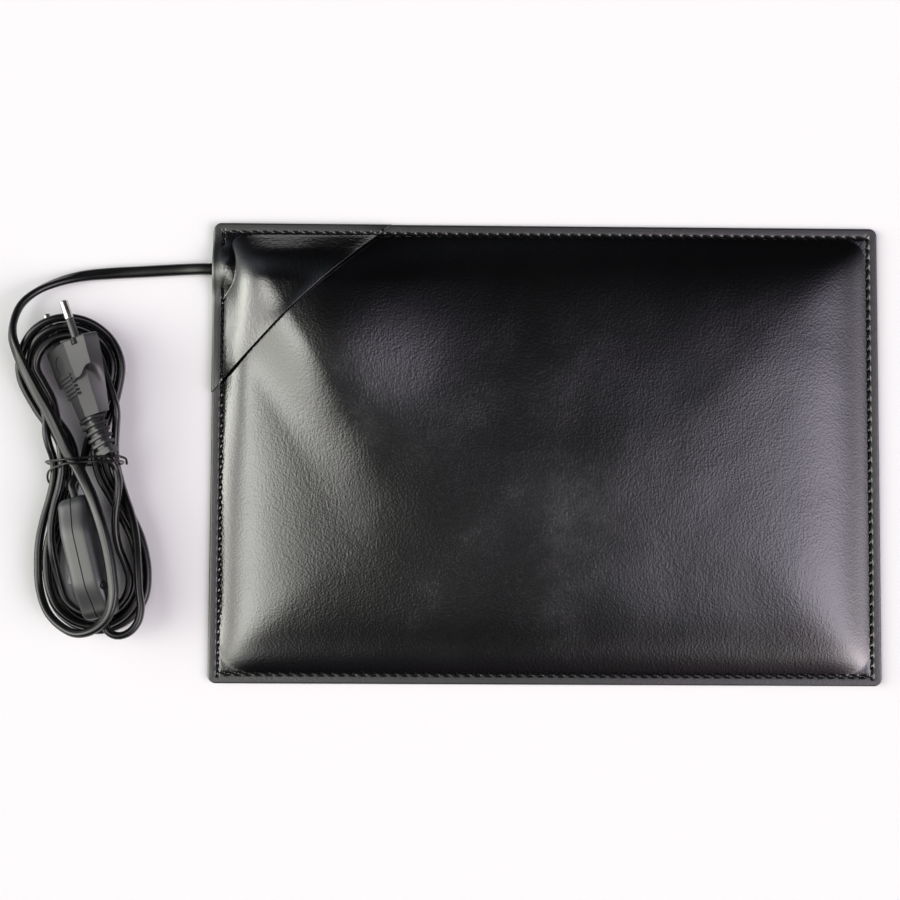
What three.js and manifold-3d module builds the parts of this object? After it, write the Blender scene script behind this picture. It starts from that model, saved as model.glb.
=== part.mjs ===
// Heated mouse pad: a sewn leatherette mat with a heating wire inside, and a flat two-core mains
// cord that is tied in a hank beside it, with an inline rocker switch and a two-pin plug.
// Millimetres, +Z up. The origin is the centre of the mat's underside, +X runs along the mat.
import * as THREE from 'three';
import { mergeVertices } from 'three/addons/utils/BufferGeometryUtils.js';
import Module from 'manifold-3d';

const wasm = await Module();
wasm.setup();

// Mat
const padLength = 320;
const padWidth = 220;
const padCornerRadius = 4;
const leatherThickness = 1;
const layerGap = 0.3;
const seamWidth = 6;
const shoulderWidth = 9;
const draftCornerRadius = 18;
const feltThickness = 1.6;
const carrierThickness = 0.4;
const wireDiameter = 1.2;
const paddingThickness = 1;
const feltInset = 8;
const carrierInset = 11;
const paddingInset = 15;
const layerCornerRadius = 22;

// Corner flap: how far it reaches along the top edge and down the left edge
const flapAlongTop = 85.3;
const flapDownSide = 81.7;
const flapBow = 2.5;
const flapGap = 0.3;

// Flat cord
const cordThickness = 3.5;
const cordWidth = 5.6;
const coreDiameter = 1.8;
const coreSpacing = 2.5;
const jointGap = 0.3;

// Cord entry and terminal box under the flap
const exitFromTop = 22.5;
const tunnelHalfWidth = 3.2;
const bendStart = 8;
const entryAngle = 38;
const entryBendRadius = 16;
const boxFromBend = 16;
const boxLength = 40;
const boxWidth = 18;
const boxHeight = 8.6;
const boxWall = 1.4;
const boxFloor = 1.2;
const boxLidThickness = 1.4;
const boxCornerRadius = 3;
const boxLipDepth = 1.2;
const boxLipThickness = 0.9;
const humpMargin = 3;
const humpReach = 26;
const slackGap = 0.25;
const cordInBoxShare = 0.215;
const gripThickness = 1.5;
const gripLength = 4;
const cutoutShare = 0.225;
const cutoutWidth = 4.4;
const cutoutHeight = 3;
const spliceDiameter = 2.4;
const spliceShare = 0.11;
const innerLineOffset = 3.6;

// Heating wire
const wireRowCount = 10;
const wireEdgeInset = 20;
const wireRightInset = 26;
const wireLeftInset = 34;
const wireShortInset = 80;
const wireReturnInset = 14;
const wireBendRadius = 12;
const wireEndRadius = 3;
const wireLeaveShare = 0.3;
const wireReturnShare = 0.075;

// Hank frame: its waist, and how far its long axis leans from +Y
const hankX = -220.5;
const hankY = -5;
const hankLean = 8;

// Hank of loops: two round lobes joined by a waist
const upperLobeAt = 43.2;
const lowerLobeAt = 57.6;
const upperLobeRadius = 25;
const lowerLobeRadius = 24.4;
const waistHalfWidth = 10;
const waistShift = 1;
const strandSpacing = 4.1;
const layerSpacing = 6.1;
const lowestStrand = 2.95;
const tieLift = 1.9;
const tieLiftReach = 24;
const pinArch = 7.4;
const archMiddleShare = 0.43;
const archReachShare = 0.5;
const hankStartStep = 18;
const hankLeadInShare = 0.2;
const hankEndStep = 97;
const climbMiddleStep = 51;
const climbSteps = 2;
const stepsPerQuarter = 6;

// Wire tie
const tieWireDiameter = 1.1;

// Inline switch
const switchUpperTip = [-17.8, -3, 19.2];
const switchLowerTip = [-75.3, 3.1, 19.2];
const switchRoll = 17;
const switchWidth = 20;
const switchThickness = 16.5;
const switchTipWidth = 11;
const switchTaper = 15;
const switchRound = 3;
const switchWall = 1.8;
const partingGap = 0.3;
const cordClearance = 0.35;
const rockerRadius = 9.2;
const rockerWidth = 10.2;
const rockerPivotDepth = 3.85;
const rockerTilt = 8;
const rockerDip = 0.9;
const rockerFoot = 2;
const rockerPinDiameter = 2;
const rockerPostDiameter = 4.4;
const rockerPostLength = 3.4;
const rockerOffset = 2.5;
const runningGap = 0.3;
const lugThickness = 1.6;
const lugWidth = 4.6;
const plungerDiameter = 2;
const plungerStickOut = 1.2;
const plungerRoom = 0.4;
const bladeLength = 17;
const bladeWidth = 4;
const bladeThickness = 0.7;
const bladeTilt = 4;
const bladePivotDrop = 1.3;
const terminalLength = 7;
const terminalWidth = 3.6;
const terminalHeight = 5;
const terminalFromTip = 10.5;
const terminalSide = 2.1;
const terminalScrewDiameter = 2.6;
const terminalScrewHead = 1.6;
const neutralBarHeight = 2.4;
const neutralBarWidth = 1.4;
const cordInSwitch = 6.2;
const shellScrewDiameter = 2;
const shellScrewHeadDiameter = 3.6;
const shellScrewHeadHeight = 1.4;
const bossDiameter = 3.6;

// Two-pin plug
const plugFront = [53.4, 2, 18.5];
const plugYaw = 12;
const plugTilt = 52;
const plugDip = 1.2;
const plugWidth = 35.3;
const plugThickness = 13.7;
const plugGripWidth = 17;
const plugGripThickness = 11.6;
const plugRearWidth = 14.5;
const plugRearThickness = 9.6;
const plugLength = 36;
const plugBlockLength = 12.5;
const plugShoulderLength = 10;
const plugChamfer = 3.2;
const plugRecessDiameter = 9;
const plugRecessDepth = 0.4;
const plugRecessX = 8;
const plugRecessY = 5;
const ribCount = 6;
const ribPitch = 1.9;
const ribLength = 9;
const ribHeight = 0.6;
const ribThickness = 1;
const ribsFrom = 14.5;
const pinSpacing = 19;
const pinDiameter = 4;
const pinLength = 19;
const pinMetalLength = 9;
const pinShankDiameter = 2.6;
const pinRoot = 12;
const sleeveDiameter = 3.8;
const sleeveRoot = 3.5;
const sleeveWall = 0.45;
const bridgeLength = 28;
const bridgeWidth = 8.6;
const bridgeDepth = 3;
const reliefLength = 19;
const reliefBend = 9;
const reliefSegments = 5;
const reliefWidth = 9.6;
const reliefThickness = 8.2;
const reliefEndWidth = 7.8;
const reliefEndThickness = 6.6;
const reliefRidgeHeight = 0.9;
const reliefRidgeShare = 0.55;

// Cuts run past the faces that they open
const overrun = 2;

// A cord's routes, chosen by hand: along the hank's axis, across it, height, and roll in degrees
// from standing on edge. The lead runs from the mat over the hank and round its lower lobe.
const leadRoute = [
  [85, 58, 2.2, 90], [86.4, 40, 2, 90], [87.6, 24, 2.1, 82], [88, 11, 3, 62], [86.6, 0, 4.6, 38],
  [83, -10.6, 7.4, 16], [77, -18.4, 11, 6], [69, -22.4, 14, 14], [61, -23.2, 17.3, 34],
  [52.5, -21.4, 18.7, 50], [43.5, -18.6, 18.9, 62], [33, -14.6, 19.6, 72], [22, -9.8, 20.7, 78],
  [11, -6, 21.4, 82], [2.5, -3, 22, 86], [-4.5, 0.6, 23, 86], [-12, 3.6, 25, 80], [-20, 6.4, 27, 72],
  [-31, 9, 29.2, 66], [-45, 10.9, 29.6, 62], [-57, 11.3, 29.3, 60], [-66.3, 10.6, 28.8, 54],
  [-74.8, 6.8, 27.4, 42], [-80, -0.6, 24.8, 24], [-80.8, -9.4, 20.6, 10], [-76.2, -17.4, 16, 4],
  [-68.4, -23.6, 11.6, 0], [-57.6, -26.2, 9.2, 0], [-46, -25.6, 9.05, 0], [-35, -23.6, 9.05, 0],
  [-25, -20.2, 9.1, 0], [-15, -15.8, 9.8, 0], [-6, -12.8, 10.8, 0], [2, -12, 12.4, 0],
  [8, -12.8, 14.9, 0], [13.5, -13.2, 15.8, 0], [20, -12.6, 15.4, 0], [26.6, -13.2, 14.5, 0],
  [32, -15.2, 11.8, 0],
];

// From the plug round the lower lobe, up the left, round the upper lobe and back to the switch
const plugCordRoute = [
  [-6.4, 17.2, 18, 0], [-13, 17.8, 17.6, 0], [-20, 16.6, 17.4, 0], [-28, 14.4, 16.2, 0],
  [-36, 13, 13.8, 0], [-44, 13.2, 11.2, 0], [-51, 14.8, 9.6, 0], [-58.6, 16, 9.05, 0],
  [-65.8, 13.8, 9.05, 0], [-70.8, 9, 9.05, 0], [-73.2, 2.8, 9.05, 0], [-72.8, -4.2, 9.05, 0],
  [-69.8, -10.2, 9.05, 0], [-64.6, -14.6, 9.2, 0], [-57, -16.2, 10.2, 0], [-49, -16.8, 12.4, 0],
  [-41, -17, 15.1, 0], [-33, -16.6, 15.3, 0], [-26, -15.2, 15.4, 0], [-19, -12.8, 15.6, 0],
  [-11, -9.6, 16, 0], [-3, -7.4, 16.8, 0], [5, -7.2, 16.8, 0], [13, -7.6, 16, 0],
  [22, -7.8, 15.1, 0], [30, -8.8, 14.95, 0], [38, -11.8, 15.1, 0], [45.6, -14.3, 15.6, 0],
  [51.8, -12, 15.9, 0], [56.1, -7.4, 16, 0], [58.2, -0.8, 16, 0], [57.8, 6.6, 16, 0],
  [53.5, 13, 15.8, 0], [46, 16.2, 15.5, 0], [37, 17.8, 15.3, 0], [28, 19.6, 15.2, 0],
  [20, 20.4, 14.8, 0], [12, 18.6, 12, 0], [4, 16.9, 9.8, 0], [-4, 16.4, 9, 0],
  [-12, 17.4, 9.4, 0], [-20, 19, 11.2, 0], [-28, 21, 13.2, 0], [-36, 22.2, 15.2, 0],
  [-45, 22.4, 16.8, 0], [-55, 21.9, 18.4, 0], [-65, 21.3, 19.1, 0], [-73, 21.2, 19.2, 0],
  [-79.4, 19, 19.2, 0], [-83.6, 14.4, 19.2, 0], [-84.4, 9, 19.2, 0], [-81.9, 5, 19.2, 0],
];

// From the hank's end, through the middle of the waist, to the switch's upper end
const switchFeedRoute = [
  [19, 8.2, 3.5, 0], [11.5, 5, 5.2, 0], [4.5, 3, 8, 0], [-1.5, 1.6, 11.6, 0], [-6.6, -0.6, 15.4, 0],
];

// The tie wire's route round the waist: along the hank's axis, across it and height
const tieRoute = [
  [-8.6, -16.4, 7.4], [-6.4, -16.2, 10.4], [-4, -14.6, 14.2], [-3, -11.2, 18.8], [-2.6, -7.8, 22.6],
  [-2.4, -4.6, 25.2], [-2.4, 0, 26], [-2.6, 5, 25.4], [-3, 10, 24], [-3.6, 14.4, 23.6],
  [-4, 18.6, 23], [-4, 20.4, 17.6], [-4, 19.8, 9], [-4, 17.2, 2.6], [-3.6, 14, 0.75], [-3, 8, 0.65], [-2, 0, 0.65],
  [-0.6, -8, 0.65], [0, -13.2, 1.2], [0.4, -15.6, 4.6], [0.8, -15.8, 11], [0.7, -14.8, 15.6],
  [0.3, -11, 20.2], [-0.2, -5.2, 24.6], [-0.4, -1.4, 25.6], [-0.6, 4, 25.2], [-0.9, 11, 24],
  [-1.4, 16, 23.8], [-2, 20.4, 22.8], [-3.4, 22.8, 19.6], [-5.6, 22.6, 17.4],
];

// Derived places in plan, and lengths inside the terminal box
const exitY = padWidth / 2 - exitFromTop;
const wireTopRow = padWidth / 2 - wireEdgeInset;
const wirePitch = (2 * wireTopRow) / (wireRowCount - 1);
const wireRightEnd = padLength / 2 - wireRightInset;
const wireLeftEnd = padLength / 2 - wireLeftInset;
const wireShortEnd = padLength / 2 - wireShortInset;
const wireReturnX = padLength / 2 - wireReturnInset;
const cordInBox = boxLength * cordInBoxShare;
const cutoutLength = boxLength * cutoutShare;
const spliceLength = boxLength * spliceShare;

// Derived heights of the mat's layers
const seamBottom = leatherThickness + layerGap;
const feltBottom = seamBottom;
const carrierBottom = feltBottom + feltThickness + layerGap;
const wireCentre = carrierBottom + carrierThickness + layerGap + wireDiameter / 2;
const paddingBottom = wireCentre + wireDiameter / 2 + layerGap;
const plateauBottom = paddingBottom + paddingThickness + layerGap;
const boxBottom = seamBottom;
const cordOnSheet = seamBottom + cordThickness / 2;
const cordInBoxHeight = boxBottom + boxFloor + layerGap + cordThickness / 2;

const radians = THREE.MathUtils.degToRad;
const up = new THREE.Vector3(0, 0, 1);

function smooth(t) {
  const u = THREE.MathUtils.clamp(t, 0, 1);
  return u * u * (3 - 2 * u);
}

// Closed solid from points and triangles, turned so that its faces point out
function closedSolid(points, triangles) {
  let volume = 0;
  for (const [a, b, c] of triangles) {
    volume += points[a].dot(new THREE.Vector3().crossVectors(points[b], points[c]));
  }
  const index = triangles.flatMap(([a, b, c]) => (volume < 0 ? [a, c, b] : [a, b, c]));
  const geometry = new THREE.BufferGeometry().setFromPoints(points);
  geometry.setIndex(index);
  return geometry;
}

// Rings of equal count joined in order, with flat ends
function loft(rings) {
  const count = rings[0].length;
  const points = rings.flat();
  const triangles = [];
  for (let k = 0; k + 1 < rings.length; k += 1) {
    for (let i = 0; i < count; i += 1) {
      const a = k * count + i;
      const b = k * count + ((i + 1) % count);
      triangles.push([a, b, b + count], [a, b + count, a + count]);
    }
  }
  const last = (rings.length - 1) * count;
  for (let i = 1; i + 1 < count; i += 1) {
    triangles.push([0, i + 1, i], [last, last + i, last + i + 1]);
  }
  return closedSolid(points, triangles);
}

// Directions of a cord at a point: along it, and across it with its roll
function cordFrames(points, rolls) {
  return points.map((point, i) => {
    const before = points[Math.max(i - 1, 0)];
    const after = points[Math.min(i + 1, points.length - 1)];
    const along = new THREE.Vector3().subVectors(after, before).normalize();
    const level = new THREE.Vector3().crossVectors(along, up).normalize();
    const roll = radians(rolls ? rolls[i] : 0);
    const side = level.clone().applyAxisAngle(along, roll);
    const rise = new THREE.Vector3().crossVectors(side, along);
    return { point, side, rise };
  });
}

// A solid strand of oval section along points
function strand(points, thickness, width, sides, rolls) {
  const rings = cordFrames(points, rolls).map(({ point, side, rise }) => {
    const ring = [];
    for (let i = 0; i < sides; i += 1) {
      const angle = (2 * Math.PI * (i + 0.5)) / sides + Math.PI / 2;
      const s = (Math.cos(angle) * thickness) / 2 / Math.cos(Math.PI / sides);
      const r = (Math.sin(angle) * width) / 2 / Math.cos(Math.PI / sides);
      ring.push(point.clone().addScaledVector(side, s).addScaledVector(rise, r));
    }
    return ring;
  });
  return loft(rings);
}

function wireStrand(points, diameter, sides) {
  return strand(points, diameter, diameter, sides);
}

// Even steps along a smooth curve through hand-chosen places, with a straight stub at either end
function evenRoute(stops, stopRolls, steps) {
  const points = stops.slice(1, -1);
  const rolls = stopRolls.slice(1, -1);
  const curve = new THREE.CatmullRomCurve3(points, false, 'centripetal');
  curve.arcLengthDivisions = points.length * 20;
  const places = [];
  const turns = [];
  for (let i = 0; i <= steps; i += 1) {
    const t = curve.getUtoTmapping(i / steps);
    places.push(curve.getPoint(t));
    const at = t * (points.length - 1);
    const low = Math.min(Math.floor(at), points.length - 2);
    turns.push(THREE.MathUtils.lerp(rolls[low], rolls[low + 1], at - low));
  }
  return {
    places: [stops[0], ...places, stops[stops.length - 1]],
    turns: [stopRolls[0], ...turns, stopRolls[stopRolls.length - 1]],
  };
}

function toManifold(geometry) {
  const bare = geometry.clone();
  bare.deleteAttribute('normal');
  bare.deleteAttribute('uv');
  const merged = mergeVertices(bare);
  return new wasm.Manifold(new wasm.Mesh({
    numProp: 3,
    vertProperties: new Float32Array(merged.attributes.position.array),
    triVerts: new Uint32Array(merged.index.array),
  }));
}

function toGeometry(manifold) {
  const mesh = manifold.getMesh();
  const geometry = new THREE.BufferGeometry();
  geometry.setAttribute('position', new THREE.BufferAttribute(mesh.vertProperties, 3));
  geometry.setIndex(new THREE.BufferAttribute(mesh.triVerts, 1));
  return geometry;
}

function cut(geometry, ...tools) {
  return toGeometry(tools.reduce((body, tool) => body.subtract(toManifold(tool)), toManifold(geometry)));
}

function join(geometry, ...others) {
  return toGeometry(others.reduce((body, other) => body.add(toManifold(other)), toManifold(geometry)));
}

function keep(geometry, space) {
  return toGeometry(toManifold(geometry).intersect(toManifold(space)));
}

function box(x0, x1, y0, y1, z0, z1) {
  const geometry = new THREE.BoxGeometry(x1 - x0, y1 - y0, z1 - z0);
  return geometry.translate((x0 + x1) / 2, (y0 + y1) / 2, (z0 + z1) / 2);
}

// Upright cylinder from z0 to z1
function post(x, y, z0, z1, diameter, sides = 16) {
  const geometry = new THREE.CylinderGeometry(diameter / 2, diameter / 2, z1 - z0, sides);
  return geometry.rotateX(Math.PI / 2).translate(x, y, (z0 + z1) / 2);
}

// Cylinder along Y
function crossPin(x, z, y0, y1, diameter, sides = 16) {
  const geometry = new THREE.CylinderGeometry(diameter / 2, diameter / 2, y1 - y0, sides);
  return geometry.translate(x, (y0 + y1) / 2, z);
}

function prism(shape, z0, z1, curveSegments = 5) {
  const geometry = new THREE.ExtrudeGeometry(shape, { depth: z1 - z0, bevelEnabled: false, curveSegments });
  return geometry.translate(0, 0, z0);
}

function roundedRectangle(length, width, radius) {
  const x = length / 2;
  const y = width / 2;
  const shape = new THREE.Shape();
  shape.moveTo(-x + radius, -y);
  shape.lineTo(x - radius, -y);
  shape.absarc(x - radius, -y + radius, radius, -Math.PI / 2, 0);
  shape.lineTo(x, y - radius);
  shape.absarc(x - radius, y - radius, radius, 0, Math.PI / 2);
  shape.lineTo(-x + radius, y);
  shape.absarc(-x + radius, y - radius, radius, Math.PI / 2, Math.PI);
  shape.lineTo(-x, -y + radius);
  shape.absarc(-x + radius, -y + radius, radius, Math.PI, 1.5 * Math.PI);
  return shape;
}

function polygon(points) {
  return new THREE.Shape(points.map(([x, y]) => new THREE.Vector2(x, y)));
}

// Colours and finishes
function finish(color, roughness, metalness = 0) {
  return new THREE.MeshStandardMaterial({ color, roughness, metalness });
}
const leather = finish(0x141517, 0.42);
const felt = finish(0x8d8f8e, 0.95);
const carrierCloth = finish(0xd8d4c8, 0.9);
const siliconeWire = finish(0xb0302a, 0.6);
const foam = finish(0x4a4c50, 0.95);
const cordBlack = finish(0x0d0d0f, 0.38);
const blackPlastic = finish(0x1b1c1e, 0.5);
const greyPlastic = finish(0x3a3d40, 0.6);
const whitePlastic = finish(0xd9d9d4, 0.5);
const nickel = finish(0xc9c6bd, 0.25, 1);
const brass = finish(0xb58a3c, 0.35, 1);
const steel = finish(0x9da0a3, 0.35, 1);
const coreBrown = finish(0x5b3a22, 0.5);
const coreBlue = finish(0x27509a, 0.5);

const heatedPad = new THREE.Group();

function addPiece(parent, name, geometry, material) {
  const mesh = new THREE.Mesh(geometry, material);
  mesh.name = name;
  parent.add(mesh);
  return mesh;
}

// Where the cord enters, in plan: straight in from the left edge, then a bend to the box
const bendPlan = new THREE.Vector2(-padLength / 2 + bendStart, exitY);
const entryDirection = new THREE.Vector2(Math.cos(radians(entryAngle)), -Math.sin(radians(entryAngle)));
const boxPlan = bendPlan.clone().addScaledVector(entryDirection, boxFromBend + boxLength / 2);

// Distance in plan from a point to the terminal box's outline, negative inside
function distanceToBox(x, y) {
  const dx = x - boxPlan.x;
  const dy = y - boxPlan.y;
  const along = Math.abs(dx * entryDirection.x + dy * entryDirection.y) - boxLength / 2 - humpMargin;
  const across = Math.abs(dy * entryDirection.x - dx * entryDirection.y) - boxWidth / 2 - humpMargin;
  return Math.hypot(Math.max(along, 0), Math.max(across, 0)) + Math.min(Math.max(along, across), 0);
}

// Distance in plan from a point to the stretch of cord under the covers
function distanceToTail(x, y) {
  const edge = new THREE.Vector2(-padLength / 2, exitY);
  const mouth = bendPlan.clone().addScaledVector(entryDirection, boxFromBend);
  const point = new THREE.Vector2(x, y);
  return Math.min(distanceToSegment(point, edge, bendPlan), distanceToSegment(point, bendPlan, mouth));
}

function distanceToSegment(point, a, b) {
  const run = b.clone().sub(a);
  const share = THREE.MathUtils.clamp(point.clone().sub(a).dot(run) / run.lengthSq(), 0, 1);
  return point.distanceTo(a.clone().addScaledVector(run, share));
}

// Distance inward from the mat's edge, with corners drawn round
function inset(x, y) {
  const qx = Math.abs(x) - padLength / 2 + draftCornerRadius;
  const qy = Math.abs(y) - padWidth / 2 + draftCornerRadius;
  const outside = Math.hypot(Math.max(qx, 0), Math.max(qy, 0));
  return draftCornerRadius - outside - Math.min(Math.max(qx, qy), 0);
}

// Underside of the top cover: flat at the seam, level over the padding, raised over box and cord
function coverUnderside(x, y) {
  const t = THREE.MathUtils.clamp((inset(x, y) - seamWidth) / shoulderWidth, 0, 1);
  const rise = 1 - (1 - t) * (1 - t);
  const humpHeight = boxBottom + boxHeight + layerGap + slackGap - plateauBottom;
  const hump = humpHeight * (1 - smooth(distanceToBox(x, y) / humpReach));
  const level = seamBottom + (plateauBottom - seamBottom + hump) * rise;
  const tailReach = (distanceToTail(x, y) - tunnelHalfWidth) / (2 * tunnelHalfWidth);
  const tailHeight = cordInBoxHeight - seamBottom + cordThickness / 2 + layerGap + slackGap;
  const edgeHeight = cordThickness + layerGap + slackGap;
  const inward = smooth((inset(x, y) - leatherThickness) / seamWidth);
  const tail = THREE.MathUtils.lerp(edgeHeight, tailHeight, inward) * (1 - smooth(tailReach));
  return Math.max(level, seamBottom + tail);
}

function coverTop(x, y) {
  return coverUnderside(x, y) + leatherThickness;
}

// Grid lines that follow the seam, the shoulder, the cord and the hump
function gridLines() {
  const rises = [0, seamWidth, seamWidth + shoulderWidth / 3, seamWidth + (2 * shoulderWidth) / 3,
    seamWidth + shoulderWidth];
  const halfLength = padLength / 2;
  const halfWidth = padWidth / 2;
  const humpStepX = [0.15, 0.3, 0.45, 0.6, 0.75, 0.9].map((share) => -halfLength + seamWidth
    + shoulderWidth + share * (boxLength + humpReach));
  const middleX = [-0.44, -0.2, 0.1, 0.4, 0.7].map((share) => share * halfLength);
  const xs = rises.map((d) => -halfLength + d).concat([-halfLength + tunnelHalfWidth], humpStepX, middleX,
    rises.map((d) => halfLength - d));
  const entryYs = [-3, -2, -1, 0, 1, 2].map((k) => exitY + k * tunnelHalfWidth);
  const humpYs = [0.1, 0.28, 0.46, 0.64, 0.82].map((share) => exitY - 3 * tunnelHalfWidth - share
    * (boxLength + humpReach / 2));
  const middleY = [-0.6, -0.2].map((share) => share * halfWidth);
  const ys = rises.map((d) => -halfWidth + d).concat(middleY, humpYs, entryYs,
    rises.map((d) => halfWidth - d));
  const order = (values) => values.sort((a, b) => a - b);
  return { xs: order(xs), ys: order(ys) };
}

// A grid point pulled in onto the mat's rounded corner
function onOutline(x, y) {
  const cx = padLength / 2 - padCornerRadius;
  const cy = padWidth / 2 - padCornerRadius;
  const dx = Math.abs(x) - cx;
  const dy = Math.abs(y) - cy;
  const reach = Math.hypot(Math.max(dx, 0), Math.max(dy, 0));
  if (dx <= 0 || dy <= 0 || reach <= padCornerRadius) {
    return [x, y];
  }
  const share = padCornerRadius / reach;
  return [Math.sign(x) * (cx + dx * share), Math.sign(y) * (cy + dy * share)];
}

// A thin sheet over the grid, from its underside up
function drapedSheet(underside, thickness) {
  const { xs, ys } = gridLines();
  const points = [];
  for (const lift of [0, thickness]) {
    for (const y of ys) {
      for (const x of xs) {
        const [px, py] = onOutline(x, y);
        points.push(new THREE.Vector3(px, py, underside(px, py) + lift));
      }
    }
  }
  const nx = xs.length;
  const ny = ys.length;
  const top = nx * ny;
  const triangles = [];
  for (let j = 0; j + 1 < ny; j += 1) {
    for (let i = 0; i + 1 < nx; i += 1) {
      const a = j * nx + i;
      triangles.push([a, a + nx + 1, a + 1], [a, a + nx, a + nx + 1]);
      triangles.push([top + a, top + a + 1, top + a + nx + 1], [top + a, top + a + nx + 1, top + a + nx]);
    }
  }
  const rim = [];
  for (let i = 0; i + 1 < nx; i += 1) rim.push(i);
  for (let j = 0; j + 1 < ny; j += 1) rim.push(j * nx + nx - 1);
  for (let i = nx - 1; i > 0; i -= 1) rim.push((ny - 1) * nx + i);
  for (let j = ny - 1; j > 0; j -= 1) rim.push(j * nx);
  rim.forEach((a, k) => {
    const b = rim[(k + 1) % rim.length];
    triangles.push([a, b, b + top], [a, b + top, a + top]);
  });
  return closedSolid(points, triangles);
}

// Outline of the corner flap, a little past the mat's edges
function flapOutline() {
  const left = -padLength / 2;
  const top = padWidth / 2;
  const start = new THREE.Vector2(left + flapAlongTop, top);
  const end = new THREE.Vector2(left, top - flapDownSide);
  const across = new THREE.Vector2(flapDownSide, -flapAlongTop).normalize().multiplyScalar(flapBow);
  const shape = new THREE.Shape();
  shape.moveTo(left - overrun, top + overrun);
  shape.lineTo(left - overrun, end.y - overrun * (flapDownSide / flapAlongTop));
  const bend = [0.3, 0.7].map((share) => end.clone().lerp(start, share));
  shape.lineTo(end.x, end.y);
  shape.bezierCurveTo(bend[0].x - across.x, bend[0].y - across.y, bend[1].x - across.x,
    bend[1].y - across.y, start.x, start.y);
  shape.lineTo(start.x + overrun, top + overrun);
  return shape;
}

// The space that the inner layers leave for the box and the cord under the covers
function boxClearance(z0, z1) {
  const half = boxWidth / 2 + humpMargin / 2;
  const far = boxLength / 2 + humpMargin / 2;
  const tunnel = prism(polygon([[-padLength, -half], [far, -half], [far, half], [-padLength, half]]), z0, z1);
  tunnel.rotateZ(-radians(entryAngle)).translate(boxPlan.x, boxPlan.y, 0);
  return tunnel;
}

function cornerClearance(z0, z1) {
  const right = boxPlan.x - boxWidth;
  const low = boxPlan.y;
  return box(-padLength, right, low, padWidth, z0, z1);
}

function innerLayer(bottom, thickness, edge) {
  const radius = layerCornerRadius - edge;
  const outline = roundedRectangle(padLength - 2 * edge, padWidth - 2 * edge, radius);
  const z0 = bottom - overrun;
  const z1 = bottom + thickness + overrun;
  const sheet = prism(outline, bottom, bottom + thickness);
  return cut(sheet, boxClearance(z0, z1), cornerClearance(z0, z1));
}

// A route walked in plan: straight runs and arcs, a little like a drawn line
class Walk {
  constructor(x, y, heading) {
    this.at = new THREE.Vector2(x, y);
    this.heading = heading;
    this.points = [this.at.clone()];
  }

  ahead(distance) {
    this.at.add(new THREE.Vector2(Math.cos(this.heading), Math.sin(this.heading)).multiplyScalar(distance));
    this.points.push(this.at.clone());
    return this;
  }

  turn(degrees, radius, pieces) {
    const step = radians(degrees) / pieces;
    const chord = 2 * radius * Math.sin(Math.abs(step) / 2);
    for (let i = 0; i < pieces; i += 1) {
      this.heading += step / 2;
      this.at.add(new THREE.Vector2(Math.cos(this.heading), Math.sin(this.heading)).multiplyScalar(chord));
      this.heading += step / 2;
      this.points.push(this.at.clone());
    }
    return this;
  }
}

function fromBox(along, across) {
  const left = new THREE.Vector2(-entryDirection.y, entryDirection.x);
  return boxPlan.clone().addScaledVector(entryDirection, along).addScaledVector(left, across);
}

// The heating wire: out of the box, ten rows across the mat and back up the left margin
function heatingWireRoute() {
  const start = fromBox(boxLength * wireLeaveShare - wireEndRadius - layerGap, innerLineOffset);
  const walk = new Walk(start.x, start.y, -radians(entryAngle));
  walk.ahead(layerGap).turn(90, wireEndRadius, 3);
  const rise = wireTopRow - wireBendRadius * (1 - Math.cos(radians(90 - entryAngle))) - walk.at.y;
  walk.ahead(rise / Math.cos(radians(entryAngle))).turn(entryAngle - 90, wireBendRadius, 3);
  for (let row = 0; row < wireRowCount; row += 1) {
    const rightward = row % 2 === 0;
    const nearBox = wireTopRow - wirePitch * (row + 0.5) > boxPlan.y - boxLength / 2;
    const leftEnd = nearBox ? wireShortEnd : wireLeftEnd;
    const last = row === wireRowCount - 1;
    const end = rightward ? wireRightEnd : -(last ? wireReturnX - wirePitch / 2 : leftEnd);
    walk.ahead(Math.abs(end - walk.at.x));
    if (last) {
      walk.turn(-90, wirePitch / 2, 3);
    } else {
      walk.turn(rightward ? -180 : 180, wirePitch / 2, 6);
    }
  }
  const entry = fromBox(boxLength * wireReturnShare, -boxWidth / 2);
  const bendRise = wireBendRadius * Math.sin(radians(entryAngle));
  const bendAside = wireBendRadius * (1 - Math.cos(radians(entryAngle)));
  const slant = (entry.x + wireReturnX - bendAside) / Math.sin(radians(entryAngle));
  walk.ahead(entry.y - slant * Math.cos(radians(entryAngle)) - bendRise - walk.at.y);
  walk.turn(-entryAngle, wireBendRadius, 3);
  walk.ahead(slant + boxWidth / 2 - innerLineOffset - wireEndRadius).turn(90, wireEndRadius, 3);
  walk.ahead(layerGap);
  return walk.points.map((p) => new THREE.Vector3(p.x, p.y, wireCentre));
}

function addMat() {
  const sheet = prism(roundedRectangle(padLength, padWidth, padCornerRadius), 0, leatherThickness);
  addPiece(heatedPad, 'bottom_cover', sheet, leather);
  addPiece(heatedPad, 'insulation_felt', innerLayer(feltBottom, feltThickness, feltInset), felt);
  const carrierSheet = innerLayer(carrierBottom, carrierThickness, carrierInset);
  addPiece(heatedPad, 'heater_carrier', carrierSheet, carrierCloth);
  const wire = wireStrand(heatingWireRoute(), wireDiameter, 6);
  addPiece(heatedPad, 'heating_wire', wire, siliconeWire);
  const padding = innerLayer(paddingBottom, paddingThickness, paddingInset);
  addPiece(heatedPad, 'padding_sheet', padding, foam);
  addPiece(heatedPad, 'top_cover', drapedSheet(coverUnderside, leatherThickness), leather);
  const over = drapedSheet((x, y) => coverTop(x, y) + flapGap, leatherThickness);
  const flapSpace = prism(flapOutline(), 0, boxHeight * 3, 4);
  addPiece(heatedPad, 'corner_flap', keep(over, flapSpace), leather);
}

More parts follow.
